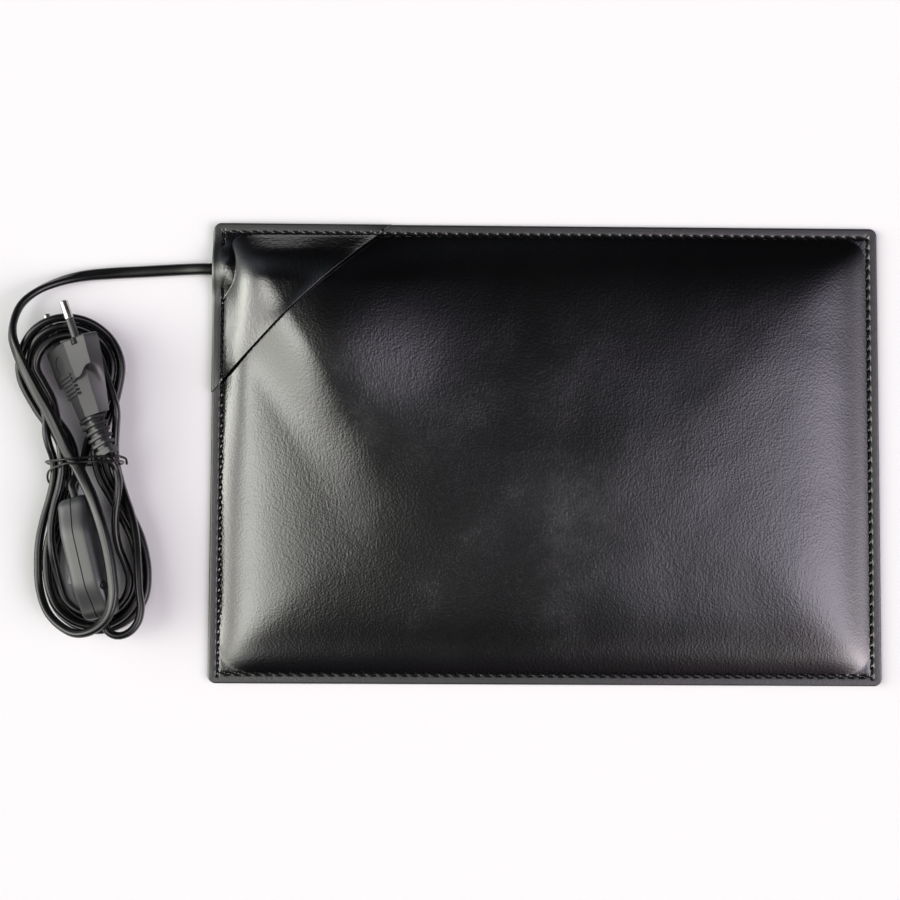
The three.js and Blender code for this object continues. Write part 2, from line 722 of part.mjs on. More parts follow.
// The terminal box, in its own group: x along the cord's way in, z from the box's underside
function addTerminalBox() {
  const group = new THREE.Group();
  group.position.set(boxPlan.x, boxPlan.y, boxBottom);
  group.rotation.z = -radians(entryAngle);
  heatedPad.add(group);
  const x = boxLength / 2;
  const y = boxWidth / 2;
  const rimTop = boxHeight - boxLidThickness - jointGap;
  const lineHeight = wireCentre - boxBottom;
  const mouth = cordWidth / 2 + cordClearance;
  const notch = wireDiameter / 2 + cordClearance;
  const wireOut = boxLength * wireLeaveShare;
  const wireBack = boxLength * wireReturnShare;
  const tray = cut(
    prism(roundedRectangle(boxLength, boxWidth, boxCornerRadius), 0, rimTop, 3),
    prism(roundedRectangle(boxLength - 2 * boxWall, boxWidth - 2 * boxWall, boxCornerRadius - boxWall),
      boxFloor, rimTop + overrun, 3),
    box(-x - overrun, -x + boxWall + overrun, -mouth, mouth, boxFloor, rimTop + overrun),
    box(wireOut - notch, wireOut + notch, y - boxWall - overrun, y + overrun, lineHeight - notch,
      rimTop + overrun),
    box(wireBack - notch, wireBack + notch, -y - overrun, -y + boxWall + overrun, lineHeight - notch,
      rimTop + overrun),
  );
  addPiece(group, 'terminal_box_base', tray, whitePlastic);

  const lipX = boxLength - 2 * (boxWall + cordClearance);
  const lipY = boxWidth - 2 * (boxWall + cordClearance);
  const lid = join(
    prism(roundedRectangle(boxLength, boxWidth, boxCornerRadius), boxHeight - boxLidThickness, boxHeight, 3),
    cut(
      prism(roundedRectangle(lipX, lipY, boxCornerRadius - boxWall), boxHeight - boxLidThickness - boxLipDepth,
        boxHeight - boxLidThickness / 2, 3),
      prism(roundedRectangle(lipX - 2 * boxLipThickness, lipY - 2 * boxLipThickness, boxLipThickness / 2),
        0, boxHeight - boxLidThickness, 3),
    ),
  );
  addPiece(group, 'terminal_box_lid', lid, whitePlastic);

  const cordBottom = boxFloor + layerGap;
  const gripTop = cordBottom + cordThickness + layerGap + gripThickness;
  const gripX = -x + boxWall + boxLipThickness + cordClearance + layerGap;
  const gripHalf = mouth + gripThickness;
  const grip = cut(
    box(gripX, gripX + gripLength, -gripHalf, gripHalf, boxFloor + layerGap / 2, gripTop - overrun / 4),
    box(gripX - overrun, gripX + gripLength + overrun, -mouth, mouth, 0, cordBottom + cordThickness + layerGap / 2),
  );
  addPiece(group, 'cord_grip', grip, greyPlastic);

  const cordEnd = -x + cordInBox;
  const coreY = coreSpacing / 2;
  const coreZ = cordInBoxHeight - boxBottom;
  const spliceX1 = wireOut - wireEndRadius - 2 * layerGap;
  const spliceX0 = spliceX1 - spliceLength;
  const cutoutX1 = spliceX0 - layerGap;
  const cutoutX0 = cutoutX1 - cutoutLength;
  const cutout = box(cutoutX0, cutoutX1, innerLineOffset - cutoutWidth / 2, innerLineOffset + cutoutWidth / 2,
    lineHeight - cutoutHeight / 2, lineHeight + cutoutHeight / 2);
  addPiece(group, 'thermal_cutout', cutout, greyPlastic);
  const sleeveShape = (x0) => new THREE.CylinderGeometry(spliceDiameter / 2, spliceDiameter / 2, spliceLength, 12)
    .rotateZ(Math.PI / 2).translate(x0 + spliceLength / 2, 0, lineHeight);
  addPiece(group, 'splice_live', sleeveShape(spliceX0).translate(0, innerLineOffset, 0), steel);
  const neutralX1 = wireBack - wireEndRadius - 2 * layerGap;
  const neutralX0 = neutralX1 - spliceLength;
  addPiece(group, 'splice_neutral', sleeveShape(neutralX0).translate(0, -innerLineOffset, 0), steel);

  const core = (sign, endX) => {
    const from = new THREE.Vector3(cordEnd + jointGap, sign * coreY, coreZ);
    const to = new THREE.Vector3(endX - jointGap, sign * innerLineOffset, lineHeight);
    const run = to.x - from.x;
    const points = [0, 0.15, 0.35, 0.65, 0.85, 1].map((share) => new THREE.Vector3(from.x + run * share,
      THREE.MathUtils.lerp(from.y, to.y, smooth((share - 0.15) / 0.7)),
      THREE.MathUtils.lerp(from.z, to.z, smooth((share - 0.15) / 0.7))));
    return wireStrand(points, coreDiameter, 8);
  };
  addPiece(group, 'core_live', core(1, cutoutX0), coreBrown);
  addPiece(group, 'core_neutral', core(-1, neutralX0), coreBlue);
}

// The cord under the covers: flat on the lower sheet at the edge, up into the box's mouth
function addCordTail() {
  const bend = radians(entryAngle);
  const tangent = entryBendRadius * Math.tan(bend / 2);
  const walk = new Walk(-padLength / 2, exitY, 0);
  walk.ahead(bendStart - tangent).turn(-entryAngle, entryBendRadius, 4);
  const inside = boxFromBend - tangent;
  walk.ahead(inside / 2).ahead(inside / 2).ahead(cordInBox);
  const heights = [0, 0, 0.1, 0.3, 0.55, 0.8, 0.95, 1, 1];
  const points = walk.points.map((p, i) => new THREE.Vector3(p.x, p.y,
    THREE.MathUtils.lerp(cordOnSheet, cordInBoxHeight, heights[i])));
  const rolls = points.map(() => 90);
  addPiece(heatedPad, 'cord_tail', strand(points, cordThickness, cordWidth, 8, rolls), cordBlack);
}

// Hank frame to the part's frame
const leanAngle = radians(hankLean);
const hankAxis = new THREE.Vector3(-Math.sin(leanAngle), Math.cos(leanAngle), 0);
const hankAcross = new THREE.Vector3(Math.cos(leanAngle), Math.sin(leanAngle), 0);

function fromHank([along, across, height]) {
  return new THREE.Vector3(hankX, hankY, height).addScaledVector(hankAxis, along)
    .addScaledVector(hankAcross, across);
}

// How much the hank is drawn in at a place along it: 1 at the waist, 0 at the lobes
function drawnIn(along) {
  const reach = along > 0 ? upperLobeAt : lowerLobeAt;
  const share = Math.min(Math.abs(along) / reach, 1);
  const wave = (1 + Math.cos(Math.PI * share)) / 2;
  return along > 0 ? wave : wave ** 1.6;
}

// Half width of the outermost turn along a run, and the wider step that a slanting run takes
function runHalfWidth(along) {
  const lobe = along > 0 ? upperLobeRadius : lowerLobeRadius;
  return lobe - (lobe - waistHalfWidth) * drawnIn(along);
}

function runStep(along) {
  const probe = strandSpacing / 4;
  const slope = (runHalfWidth(along + probe) - runHalfWidth(along - probe)) / (2 * probe);
  return strandSpacing * Math.hypot(1, slope);
}

// One place on the hank: quarter 0 runs down the right, 1 round the foot, 2 up the left, 3 round
// the head. The turns spiral out on the upper layer, climb down a run and spiral in on the lower.
function hankPlace(step) {
  const turn = stepsPerQuarter * 4;
  const quarters = (((step % turn) + turn) % turn) / stepsPerQuarter;
  const quarter = Math.floor(quarters);
  const share = quarters - quarter;
  const inward = Math.abs(step - climbMiddleStep) / turn;
  const layer = THREE.MathUtils.clamp((climbMiddleStep - step) / climbSteps + 1 / 2, 0, 1);
  const length = upperLobeAt + lowerLobeAt;
  let along = 0;
  let across = 0;
  let arch = 0;
  if (quarter === 0 || quarter === 2) {
    const sign = quarter === 0 ? 1 : -1;
    along = quarter === 0 ? upperLobeAt - share * length : share * length - lowerLobeAt;
    across = waistShift * drawnIn(along) + sign * (runHalfWidth(along) - inward * runStep(along));
  } else {
    const foot = quarter === 1;
    const radius = (foot ? lowerLobeRadius : upperLobeRadius) - inward * strandSpacing;
    const angle = foot ? -share * Math.PI : Math.PI * (1 - share);
    along = (foot ? -lowerLobeAt : upperLobeAt) + radius * Math.sin(angle);
    across = radius * Math.cos(angle);
    const fromPin = Math.min(Math.abs(share - archMiddleShare) / archReachShare, 1);
    arch = foot ? 0 : pinArch * Math.cos((fromPin * Math.PI) / 2) ** 2 * layer;
  }
  const lift = tieLift * (1 - smooth(Math.abs(along) / tieLiftReach));
  return [along, across, lowestStrand + layerSpacing * layer + lift + arch];
}

// Least gap between the turns of the hank, measured on points of its centre line as two flat strands
function leastGap(points) {
  let least = Infinity;
  for (let i = 0; i + 1 < points.length; i += 1) {
    const mid = points[i].clone().lerp(points[i + 1], 0.5);
    for (let j = i + stepsPerQuarter * 2; j + 1 < points.length; j += 1) {
      const run = points[j + 1].clone().sub(points[j]);
      const share = THREE.MathUtils.clamp(mid.clone().sub(points[j]).dot(run) / run.lengthSq(), 0, 1);
      const between = points[j].clone().addScaledVector(run, share).sub(mid);
      const height = Math.abs(between.z) - cordWidth;
      const gap = Math.max(height, Math.hypot(between.x, between.y) - cordThickness);
      least = Math.min(least, gap);
    }
  }
  return least;
}

function addCords() {
  // Lead: from the mat's edge to the hank's first turn
  const edge = new THREE.Vector3(-padLength / 2 - jointGap, exitY, cordOnSheet);
  const straight = edge.clone().add(new THREE.Vector3(-cordWidth, 0, 0));
  const next = fromHank(hankPlace(hankStartStep));
  const meet = next.clone().lerp(fromHank(hankPlace(hankStartStep - 1)), hankLeadInShare);
  const along = next.clone().sub(meet).normalize();
  const leadEnd = meet.clone().addScaledVector(along, -jointGap);
  const leadPoints = [edge, straight, ...leadRoute.map(fromHank),
    leadEnd.clone().addScaledVector(along, -cordThickness), leadEnd];
  const leadRolls = [90, 90, ...leadRoute.map((p) => p[3]), 0, 0];
  const lead = evenRoute(leadPoints, leadRolls, 66);
  addPiece(heatedPad, 'cord_lead', strand(lead.places, cordThickness, cordWidth, 8, lead.turns), cordBlack);

  // Hank, with the feed to the switch's upper end in the same tube
  const loops = [meet];
  for (let step = hankStartStep; step <= hankEndStep; step += 1) {
    loops.push(fromHank(hankPlace(step)));
  }
  console.log('least gap between the turns of the hank, mm:', leastGap(loops).toFixed(2));
  const upper = fromHank(switchUpperTip);
  const lower = fromHank(switchLowerTip);
  const switchAxis = upper.clone().sub(lower).normalize();
  const feedEnd = upper.clone().addScaledVector(switchAxis, jointGap - cordInSwitch);
  const feed = [...switchFeedRoute.map(fromHank), upper.clone().addScaledVector(switchAxis, cordWidth),
    upper.clone().addScaledVector(switchAxis, jointGap), feedEnd];
  const hank = [...loops, ...feed];
  addPiece(heatedPad, 'cord_hank', strand(hank, cordThickness, cordWidth, 6), cordBlack);

  // Plug cord: from the strain relief to the switch's lower end
  const relief = reliefPlace(1);
  const reliefEnd = relief.point.clone().addScaledVector(relief.along, jointGap);
  const lowerEnd = lower.clone().addScaledVector(switchAxis, cordInSwitch);
  const points = [reliefEnd, reliefEnd.clone().addScaledVector(relief.along, cordThickness),
    ...plugCordRoute.map(fromHank), lower, lowerEnd];
  const rolls = [0, 0, ...plugCordRoute.map((p) => p[3]), 0, 0];
  const plugCord = evenRoute(points, rolls, 80);
  addPiece(heatedPad, 'cord_to_plug', strand(plugCord.places, cordThickness, cordWidth, 8, plugCord.turns),
    cordBlack);

  const tie = evenRoute(tieRoute.map(fromHank), tieRoute.map(() => 0), 60);
  addPiece(heatedPad, 'wire_tie', wireStrand(tie.places, tieWireDiameter, 6), cordBlack);
}

// Switch: x towards the upper tip, z out of the rocker's face
const switchLength = Math.hypot(...switchUpperTip.map((value, i) => value - switchLowerTip[i]));
const halfSwitch = switchLength / 2;
const halfShell = switchThickness / 2;

function switchGroup() {
  const upper = fromHank(switchUpperTip);
  const lower = fromHank(switchLowerTip);
  const x = upper.clone().sub(lower).normalize();
  const left = new THREE.Vector3().crossVectors(up, x).normalize();
  const z = left.applyAxisAngle(x, -radians(switchRoll));
  const y = new THREE.Vector3().crossVectors(z, x);
  const group = new THREE.Group();
  group.quaternion.setFromRotationMatrix(new THREE.Matrix4().makeBasis(x, y, z));
  group.position.copy(upper).add(lower).multiplyScalar(0.5);
  heatedPad.add(group);
  return group;
}

// Outline of the switch seen from its top, drawn in by a margin
function switchOutline(margin) {
  const x = halfSwitch - margin;
  const y = switchWidth / 2 - margin;
  const tip = switchTipWidth / 2 - margin;
  const flat = halfSwitch - switchTaper;
  const corner = switchTaper * 0.35;
  const shape = new THREE.Shape();
  shape.moveTo(-flat, -y);
  shape.lineTo(flat, -y);
  shape.bezierCurveTo(flat + corner, -y, x - corner / 2, -(y + tip) / 2, x - margin / 2, -tip);
  shape.quadraticCurveTo(x, -tip / 2, x, 0);
  shape.quadraticCurveTo(x, tip / 2, x - margin / 2, tip);
  shape.bezierCurveTo(x - corner / 2, (y + tip) / 2, flat + corner, y, flat, y);
  shape.lineTo(-flat, y);
  shape.bezierCurveTo(-flat - corner, y, -x + corner / 2, (y + tip) / 2, -x + margin / 2, tip);
  shape.quadraticCurveTo(-x, tip / 2, -x, 0);
  shape.quadraticCurveTo(-x, -tip / 2, -x + margin / 2, -tip);
  shape.bezierCurveTo(-x + corner / 2, -(y + tip) / 2, -flat - corner, -y, -flat, -y);
  return shape;
}

// A whole switch body with rounded edges
function roundedBody() {
  const geometry = new THREE.ExtrudeGeometry(switchOutline(switchRound), {
    depth: switchThickness - 2 * switchRound,
    bevelThickness: switchRound,
    bevelSize: switchRound,
    bevelSegments: 3,
    curveSegments: 4,
  });
  return geometry.translate(0, 0, -halfShell + switchRound);
}

const pivotHeight = halfShell - rockerPivotDepth;
const rockerX = -rockerOffset;
const shellScrewPlaces = [[0.5, 1], [-0.5, -1]].map(([share, side]) => [share * halfSwitch,
  side * (switchWidth / 2 - switchWall - bossDiameter / 2)]);

function shellHollow() {
  return prism(switchOutline(switchWall), -halfShell + switchWall, halfShell - switchWall, 4);
}

function cordMouths() {
  const thick = cordThickness / 2 + cordClearance;
  const wide = cordWidth / 2 + cordClearance;
  const reach = halfSwitch + overrun;
  return box(-reach, reach, -wide, wide, -thick, thick);
}

function shellBlank(upperHalf) {
  const z0 = upperHalf ? partingGap / 2 : -switchThickness;
  const z1 = upperHalf ? switchThickness : -partingGap / 2;
  const half = box(-switchLength, switchLength, -switchWidth, switchWidth, z0, z1);
  return cut(keep(roundedBody(), half), shellHollow(), cordMouths());
}

function addSwitchShells(group) {
  const floor = -halfShell + switchWall;
  const ceiling = halfShell - switchWall;
  const opening = rockerRadius + runningGap;
  const openingHalf = rockerWidth / 2 + runningGap;
  const lugTop = halfShell - switchWall / 2;
  const lugBottom = pivotHeight - rockerPinDiameter;
  const lugs = [1, -1].map((side) => {
    const y0 = side * openingHalf;
    const y1 = side * (openingHalf + lugThickness);
    return box(rockerX - lugWidth / 2, rockerX + lugWidth / 2, Math.min(y0, y1), Math.max(y0, y1),
      lugBottom, lugTop);
  });
  const upperBosses = shellScrewPlaces.map(([x, y]) => post(x, y, partingGap / 2, ceiling + switchWall / 2,
    bossDiameter, 12));
  const pinHole = crossPin(rockerX, pivotHeight, -openingHalf - lugThickness - overrun,
    openingHalf + lugThickness + overrun, rockerPinDiameter + 2 * runningGap, 12);
  const screwHoles = shellScrewPlaces.map(([x, y]) => post(x, y, -switchThickness, ceiling - switchWall,
    shellScrewDiameter + 2 * runningGap, 12));
  const upper = cut(
    join(cut(shellBlank(true), box(rockerX - opening, rockerX + opening, -openingHalf, openingHalf, 0,
      halfShell + overrun)), ...lugs, ...upperBosses),
    pinHole,
    ...screwHoles,
  );
  addPiece(group, 'switch_upper_shell', upper, blackPlastic);

  const lowerBosses = shellScrewPlaces.map(([x, y]) => post(x, y, floor - switchWall / 2, -partingGap / 2,
    bossDiameter, 12));
  const counterbores = shellScrewPlaces.map(([x, y]) => post(x, y, -switchThickness,
    -halfShell + shellScrewHeadHeight + runningGap, shellScrewHeadDiameter + 2 * runningGap, 12));
  const lower = cut(join(shellBlank(false), ...lowerBosses), ...counterbores, ...screwHoles);
  addPiece(group, 'switch_lower_shell', lower, blackPlastic);

  shellScrewPlaces.forEach(([x, y], i) => {
    const headBottom = -halfShell + layerGap;
    const screw = join(
      post(x, y, headBottom, headBottom + shellScrewHeadHeight, shellScrewHeadDiameter, 12),
      post(x, y, headBottom + shellScrewHeadHeight / 2, ceiling - switchWall - layerGap, shellScrewDiameter, 12),
    );
    addPiece(group, `switch_shell_screw_${i + 1}`, screw, steel);
  });
}

// Rocker: two wings whose ends are arcs about the pivot, with a dip between them and a hollow post
function addRocker(group) {
  const tilted = new THREE.Group();
  tilted.position.set(rockerX, 0, pivotHeight);
  tilted.rotation.y = radians(rockerTilt);
  group.add(tilted);
  const shape = new THREE.Shape();
  const low = radians(10);
  const high = radians(34);
  const topZ = rockerRadius * Math.sin(high);
  shape.moveTo(-rockerRadius * 0.4, -rockerFoot);
  shape.lineTo(rockerRadius * 0.4, -rockerFoot);
  shape.lineTo(rockerRadius * Math.cos(low), rockerRadius * Math.sin(low));
  shape.absarc(0, 0, rockerRadius, low, high);
  shape.quadraticCurveTo(rockerRadius * 0.4, topZ - rockerDip, 0, topZ - 1.6 * rockerDip);
  shape.quadraticCurveTo(-rockerRadius * 0.4, topZ - rockerDip, -rockerRadius * Math.cos(high), topZ);
  shape.absarc(0, 0, rockerRadius, Math.PI - high, Math.PI - low);
  const wings = prism(shape, -rockerWidth / 2, rockerWidth / 2, 5).rotateX(Math.PI / 2);
  const postBottom = -rockerFoot - rockerPostLength + rockerPinDiameter;
  const boreTop = -rockerPinDiameter / 2 - runningGap - layerGap;
  const bore = plungerDiameter + 2 * layerGap + 2 * plungerRoom;
  const body = cut(
    join(wings, post(0, 0, postBottom, -rockerFoot / 2, rockerPostDiameter, 12)),
    crossPin(0, 0, -rockerWidth, rockerWidth, rockerPinDiameter + 2 * runningGap, 12),
    post(0, 0, postBottom - overrun, boreTop - layerGap, bore, 12),
  );
  addPiece(tilted, 'switch_rocker', body, blackPlastic);

  const pinReach = rockerWidth / 2 + runningGap + lugThickness;
  const pin = crossPin(rockerX, pivotHeight, -pinReach, pinReach, rockerPinDiameter, 12);
  addPiece(group, 'rocker_pin', pin, steel);

  // Plunger below, pressed on the contact blade by a small coil spring above it
  const tip = postBottom - plungerStickOut;
  const plungerTop = tip + plungerStickOut;
  const profile = [[0, tip], [plungerDiameter * 0.3, tip + plungerDiameter * 0.12],
    [plungerDiameter / 2, tip + plungerDiameter * 0.4], [plungerDiameter / 2, plungerTop], [0, plungerTop]];
  const plunger = new THREE.LatheGeometry(profile.map(([x, z]) => new THREE.Vector2(x, z)), 12)
    .rotateX(Math.PI / 2);
  addPiece(tilted, 'contact_plunger', plunger, greyPlastic);
}

// Contact blade on its pivot, terminals, neutral bar, screws and clamps
function addSwitchWorks(group) {
  const floor = -halfShell + switchWall;
  const plungerTip = pivotHeight - rockerFoot - rockerPostLength + rockerPinDiameter - plungerStickOut;
  const bladePivotZ = plungerTip - layerGap - bladeThickness - bladePivotDrop * 0.35;
  const rocking = new THREE.Group();
  rocking.position.set(rockerX, 0, bladePivotZ);
  rocking.rotation.y = -radians(bladeTilt);
  group.add(rocking);
  const bladeProfile = polygon([
    [-bladeLength / 2, 0], [-bladeLength / 4, bladePivotDrop * 0.7], [0, bladePivotDrop * 0.35],
    [bladeLength / 4, bladePivotDrop * 0.7], [bladeLength / 2, 0], [bladeLength / 2, bladeThickness],
    [bladeLength / 4, bladePivotDrop * 0.7 + bladeThickness], [0, bladePivotDrop * 0.35 + bladeThickness],
    [-bladeLength / 4, bladePivotDrop * 0.7 + bladeThickness], [-bladeLength / 2, bladeThickness]]);
  const blade = prism(bladeProfile, -bladeWidth / 2, bladeWidth / 2).rotateX(Math.PI / 2);
  addPiece(rocking, 'contact_blade', blade, brass);

  const side = terminalSide;
  const endX = halfSwitch - terminalFromTip;
  const blockTop = floor + layerGap + terminalHeight;
  const armThickness = bladeThickness;
  const rest = bladePivotZ - layerGap;
  const block = (x, y) => box(x - terminalLength / 2, x + terminalLength / 2, y - terminalWidth / 2,
    y + terminalWidth / 2, floor + layerGap, blockTop);
  const arm = (x0, x1) => box(x0, x1, side - terminalWidth / 2, side, floor + layerGap, floor + layerGap + armThickness);
  const standTop = rest - Math.tan(radians(bladeTilt)) * armThickness;
  const stand = box(rockerX - armThickness, rockerX + armThickness, -bladeWidth / 2, bladeWidth / 2,
    floor + layerGap, standTop);
  addPiece(group, 'live_terminal_in', join(block(endX, side), arm(rockerX - armThickness, endX), stand), brass);
  const contactX = rockerX - bladeLength / 2 + bladeWidth / 2;
  const contactDrop = Math.sin(radians(bladeTilt)) * (bladeLength / 2);
  const contact = post(contactX, 0, floor + layerGap, rest - contactDrop, bladeWidth * 0.7, 10);
  addPiece(group, 'live_terminal_out', join(block(-endX, side), arm(-endX, contactX + bladeWidth / 2), contact),
    brass);

  const neutralY = -side;
  const barSide = -side - terminalWidth / 2;
  const bar = box(-endX, endX, barSide, barSide + neutralBarWidth, floor + layerGap,
    floor + layerGap + neutralBarHeight);
  addPiece(group, 'neutral_link', join(bar, block(endX, neutralY), block(-endX, neutralY)), brass);

  [[endX, side], [-endX, side], [endX, neutralY], [-endX, neutralY]].forEach(([x, y], i) => {
    const screw = post(x, y, blockTop + layerGap, blockTop + layerGap + terminalScrewHead,
      terminalScrewDiameter, 10);
    addPiece(group, `terminal_screw_${i + 1}`, screw, steel);
  });
}

// Plug: x out of the front face, y across the two pins
function plugGroup() {
  const { front, back } = plugAxes();
  const x = back.clone().multiplyScalar(-1);
  const level = new THREE.Vector3().crossVectors(x, up).normalize();
  const y = level.applyAxisAngle(x, -radians(plugTilt)).multiplyScalar(-1);
  const z = new THREE.Vector3().crossVectors(x, y);
  const group = new THREE.Group();
  group.quaternion.setFromRotationMatrix(new THREE.Matrix4().makeBasis(x, y, z));
  group.position.copy(front);
  heatedPad.add(group);
  return group;
}

// Oblong section with cut corners, standing across x
function chamferedRing(x, width, thickness, chamfer) {
  const y = width / 2;
  const z = thickness / 2;
  const c = Math.min(chamfer, z * 0.8, y * 0.8);
  const outline = [[y, -z + c], [y, z - c], [y - c * 0.3, z - c * 0.3], [y - c, z], [-y + c, z],
    [-y + c * 0.3, z - c * 0.3], [-y, z - c], [-y, -z + c], [-y + c * 0.3, -z + c * 0.3], [-y + c, -z],
    [y - c, -z], [y - c * 0.3, -z + c * 0.3]];
  return outline.map(([py, pz]) => new THREE.Vector3(x, py, pz));
}

function addPlug() {
  const group = plugGroup();
  const shoulderEnd = plugBlockLength + plugShoulderLength;
  const stations = [[0, 0.93, 0.9], [0.8, 1, 1], [plugBlockLength, 1, 1]].map(([x, w, t]) => [x,
    plugWidth * w, plugThickness * t]);
  for (const share of [0.2, 0.4, 0.6, 0.8, 1]) {
    const eased = 1 - (1 - share) ** 2.2;
    stations.push([plugBlockLength + plugShoulderLength * share,
      THREE.MathUtils.lerp(plugWidth, plugGripWidth, eased),
      THREE.MathUtils.lerp(plugThickness, plugGripThickness, share)]);
  }
  stations.push([(shoulderEnd + plugLength) / 2, (plugGripWidth + plugRearWidth) / 2,
    (plugGripThickness + plugRearThickness) / 2]);
  stations.push([plugLength, plugRearWidth, plugRearThickness]);
  const blank = loft(stations.map(([x, w, t]) => chamferedRing(-x, w, t, plugChamfer)));
  const recessX = -plugRecessX;
  const discs = [1, -1].map((side) => post(recessX, plugRecessY, Math.min(side * (plugThickness / 2
    - plugRecessDepth), side * plugThickness), Math.max(side * (plugThickness / 2 - plugRecessDepth),
    side * plugThickness), plugRecessDiameter, 20));
  const pocket = box(-bridgeDepth - layerGap, overrun, -bridgeLength / 2 - layerGap,
    bridgeLength / 2 + layerGap, -bridgeWidth / 2 - layerGap, bridgeWidth / 2 + layerGap);
  const pinHole = (side) => new THREE.CylinderGeometry(sleeveDiameter / 2 + layerGap,
    sleeveDiameter / 2 + layerGap, pinRoot + layerGap + overrun, 16)
    .rotateZ(Math.PI / 2).translate((overrun - pinRoot - layerGap) / 2, (side * pinSpacing) / 2, 0);
  const ribs = [];
  for (let i = 0; i < ribCount; i += 1) {
    const x = -ribsFrom - i * ribPitch;
    const share = THREE.MathUtils.clamp((-x - plugBlockLength) / plugShoulderLength, 0, 1);
    const face = THREE.MathUtils.lerp(plugThickness, plugGripThickness, share) / 2 + ribHeight;
    ribs.push(box(x - ribThickness, x, -ribLength / 2, ribLength / 2, -face, face));
  }
  const body = cut(join(blank, ...ribs), pocket, pinHole(1), pinHole(-1), ...discs);
  addPiece(group, 'plug_body', body, blackPlastic);

  const bridge = cut(box(-bridgeDepth, -layerGap / 2, -bridgeLength / 2, bridgeLength / 2, -bridgeWidth / 2,
    bridgeWidth / 2), pinHole(1), pinHole(-1));
  addPiece(group, 'plug_pin_bridge', bridge, blackPlastic);

  [['live', 1], ['neutral', -1]].forEach(([name, side]) => {
    const tip = pinLength;
    const metal = pinLength - pinMetalLength;
    const round = pinDiameter * 0.18;
    const outer = pinDiameter / 2;
    const shank = pinShankDiameter / 2;
    const profile = [[0, -pinRoot], [shank, -pinRoot], [shank, metal], [outer, metal], [outer, tip - round],
      [outer - round * 0.4, tip - round * 0.35], [outer - round, tip], [0, tip]];
    const pin = new THREE.LatheGeometry(profile.map(([r, x]) => new THREE.Vector2(r, x)), 16)
      .rotateZ(-Math.PI / 2).translate(0, (side * pinSpacing) / 2, 0);
    addPiece(group, `plug_pin_${name}`, pin, nickel);
    const inner = sleeveDiameter / 2 - sleeveWall;
    const ring = [[inner, -sleeveRoot], [sleeveDiameter / 2, -sleeveRoot], [sleeveDiameter / 2, metal - layerGap / 2],
      [inner, metal - layerGap / 2], [inner, -sleeveRoot]];
    const sleeve = new THREE.LatheGeometry(ring.map(([r, x]) => new THREE.Vector2(r, x)), 16)
      .rotateZ(-Math.PI / 2).translate(0, (side * pinSpacing) / 2, 0);
    addPiece(group, `pin_sleeve_${name}`, sleeve, blackPlastic);
  });
  return group;
}

// A place along the strain relief: straight out of the plug's rear, then a gentle bend sideways
function reliefPlace(share) {
  const plug = plugAxes();
  const bend = radians(reliefBend);
  const distance = reliefLength * share;
  const angle = bend * share;
  const sideways = reliefLength * bend * share * share * 0.5;
  const start = plug.rear.clone().addScaledVector(plug.back, jointGap);
  const point = start.addScaledVector(plug.back, distance).addScaledVector(plug.aside, sideways);
  const along = plug.back.clone().multiplyScalar(Math.cos(angle)).addScaledVector(plug.aside, Math.sin(angle));
  return { point, along };
}

function plugAxes() {
  const yaw = radians(plugYaw);
  const dip = radians(plugDip);
  const front = fromHank(plugFront);
  const back = hankAxis.clone().multiplyScalar(-Math.cos(yaw)).addScaledVector(hankAcross, Math.sin(yaw))
    .multiplyScalar(Math.cos(dip)).addScaledVector(up, Math.sin(dip));
  const aside = new THREE.Vector3().crossVectors(up, back).normalize();
  const rear = front.clone().addScaledVector(back, plugLength);
  return { front, back, aside, rear };
}

// Slotted strain relief: a tapered core with raised ridges between its slots
function addStrainRelief() {
  const tilt = radians(plugTilt);
  const rings = [];
  const ringAt = (share, swell) => {
    const { point, along } = reliefPlace(share);
    const level = new THREE.Vector3().crossVectors(along, up).normalize();
    const across = level.applyAxisAngle(along, tilt * (1 - 0.55 * share));
    const rise = new THREE.Vector3().crossVectors(across, along);
    const y = THREE.MathUtils.lerp(reliefWidth, reliefEndWidth, share) / 2 - swell;
    const z = THREE.MathUtils.lerp(reliefThickness, reliefEndThickness, share) / 2 - swell;
    const c = reliefRidgeHeight;
    const outline = [[y, z - c], [y - c, z], [-y + c, z], [-y, z - c], [-y, -z + c], [-y + c, -z],
      [y - c, -z], [y, -z + c]];
    return outline.map(([a, b]) => point.clone().addScaledVector(across, a).addScaledVector(rise, b));
  };
  for (let i = 0; i < reliefSegments; i += 1) {
    const s0 = i / reliefSegments;
    const s1 = (i + reliefRidgeShare) / reliefSegments;
    const s2 = (i + 1) / reliefSegments;
    rings.push(ringAt(s0, 0), ringAt(s1, 0));
    if (i + 1 < reliefSegments) {
      rings.push(ringAt(s1, reliefRidgeHeight), ringAt(s2, reliefRidgeHeight));
    } else {
      rings.push(ringAt(s2, 0));
    }
  }
  addPiece(heatedPad, 'plug_strain_relief', loft(rings), blackPlastic);
}

addMat();
addTerminalBox();
addCordTail();
addCords();
const switchBody = switchGroup();
addSwitchShells(switchBody);
addRocker(switchBody);
addSwitchWorks(switchBody);
addPlug();
addStrainRelief();

export default heatedPad;
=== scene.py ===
import math

import bmesh
import bpy
import numpy as np
from mathutils import Matrix, Vector, noise


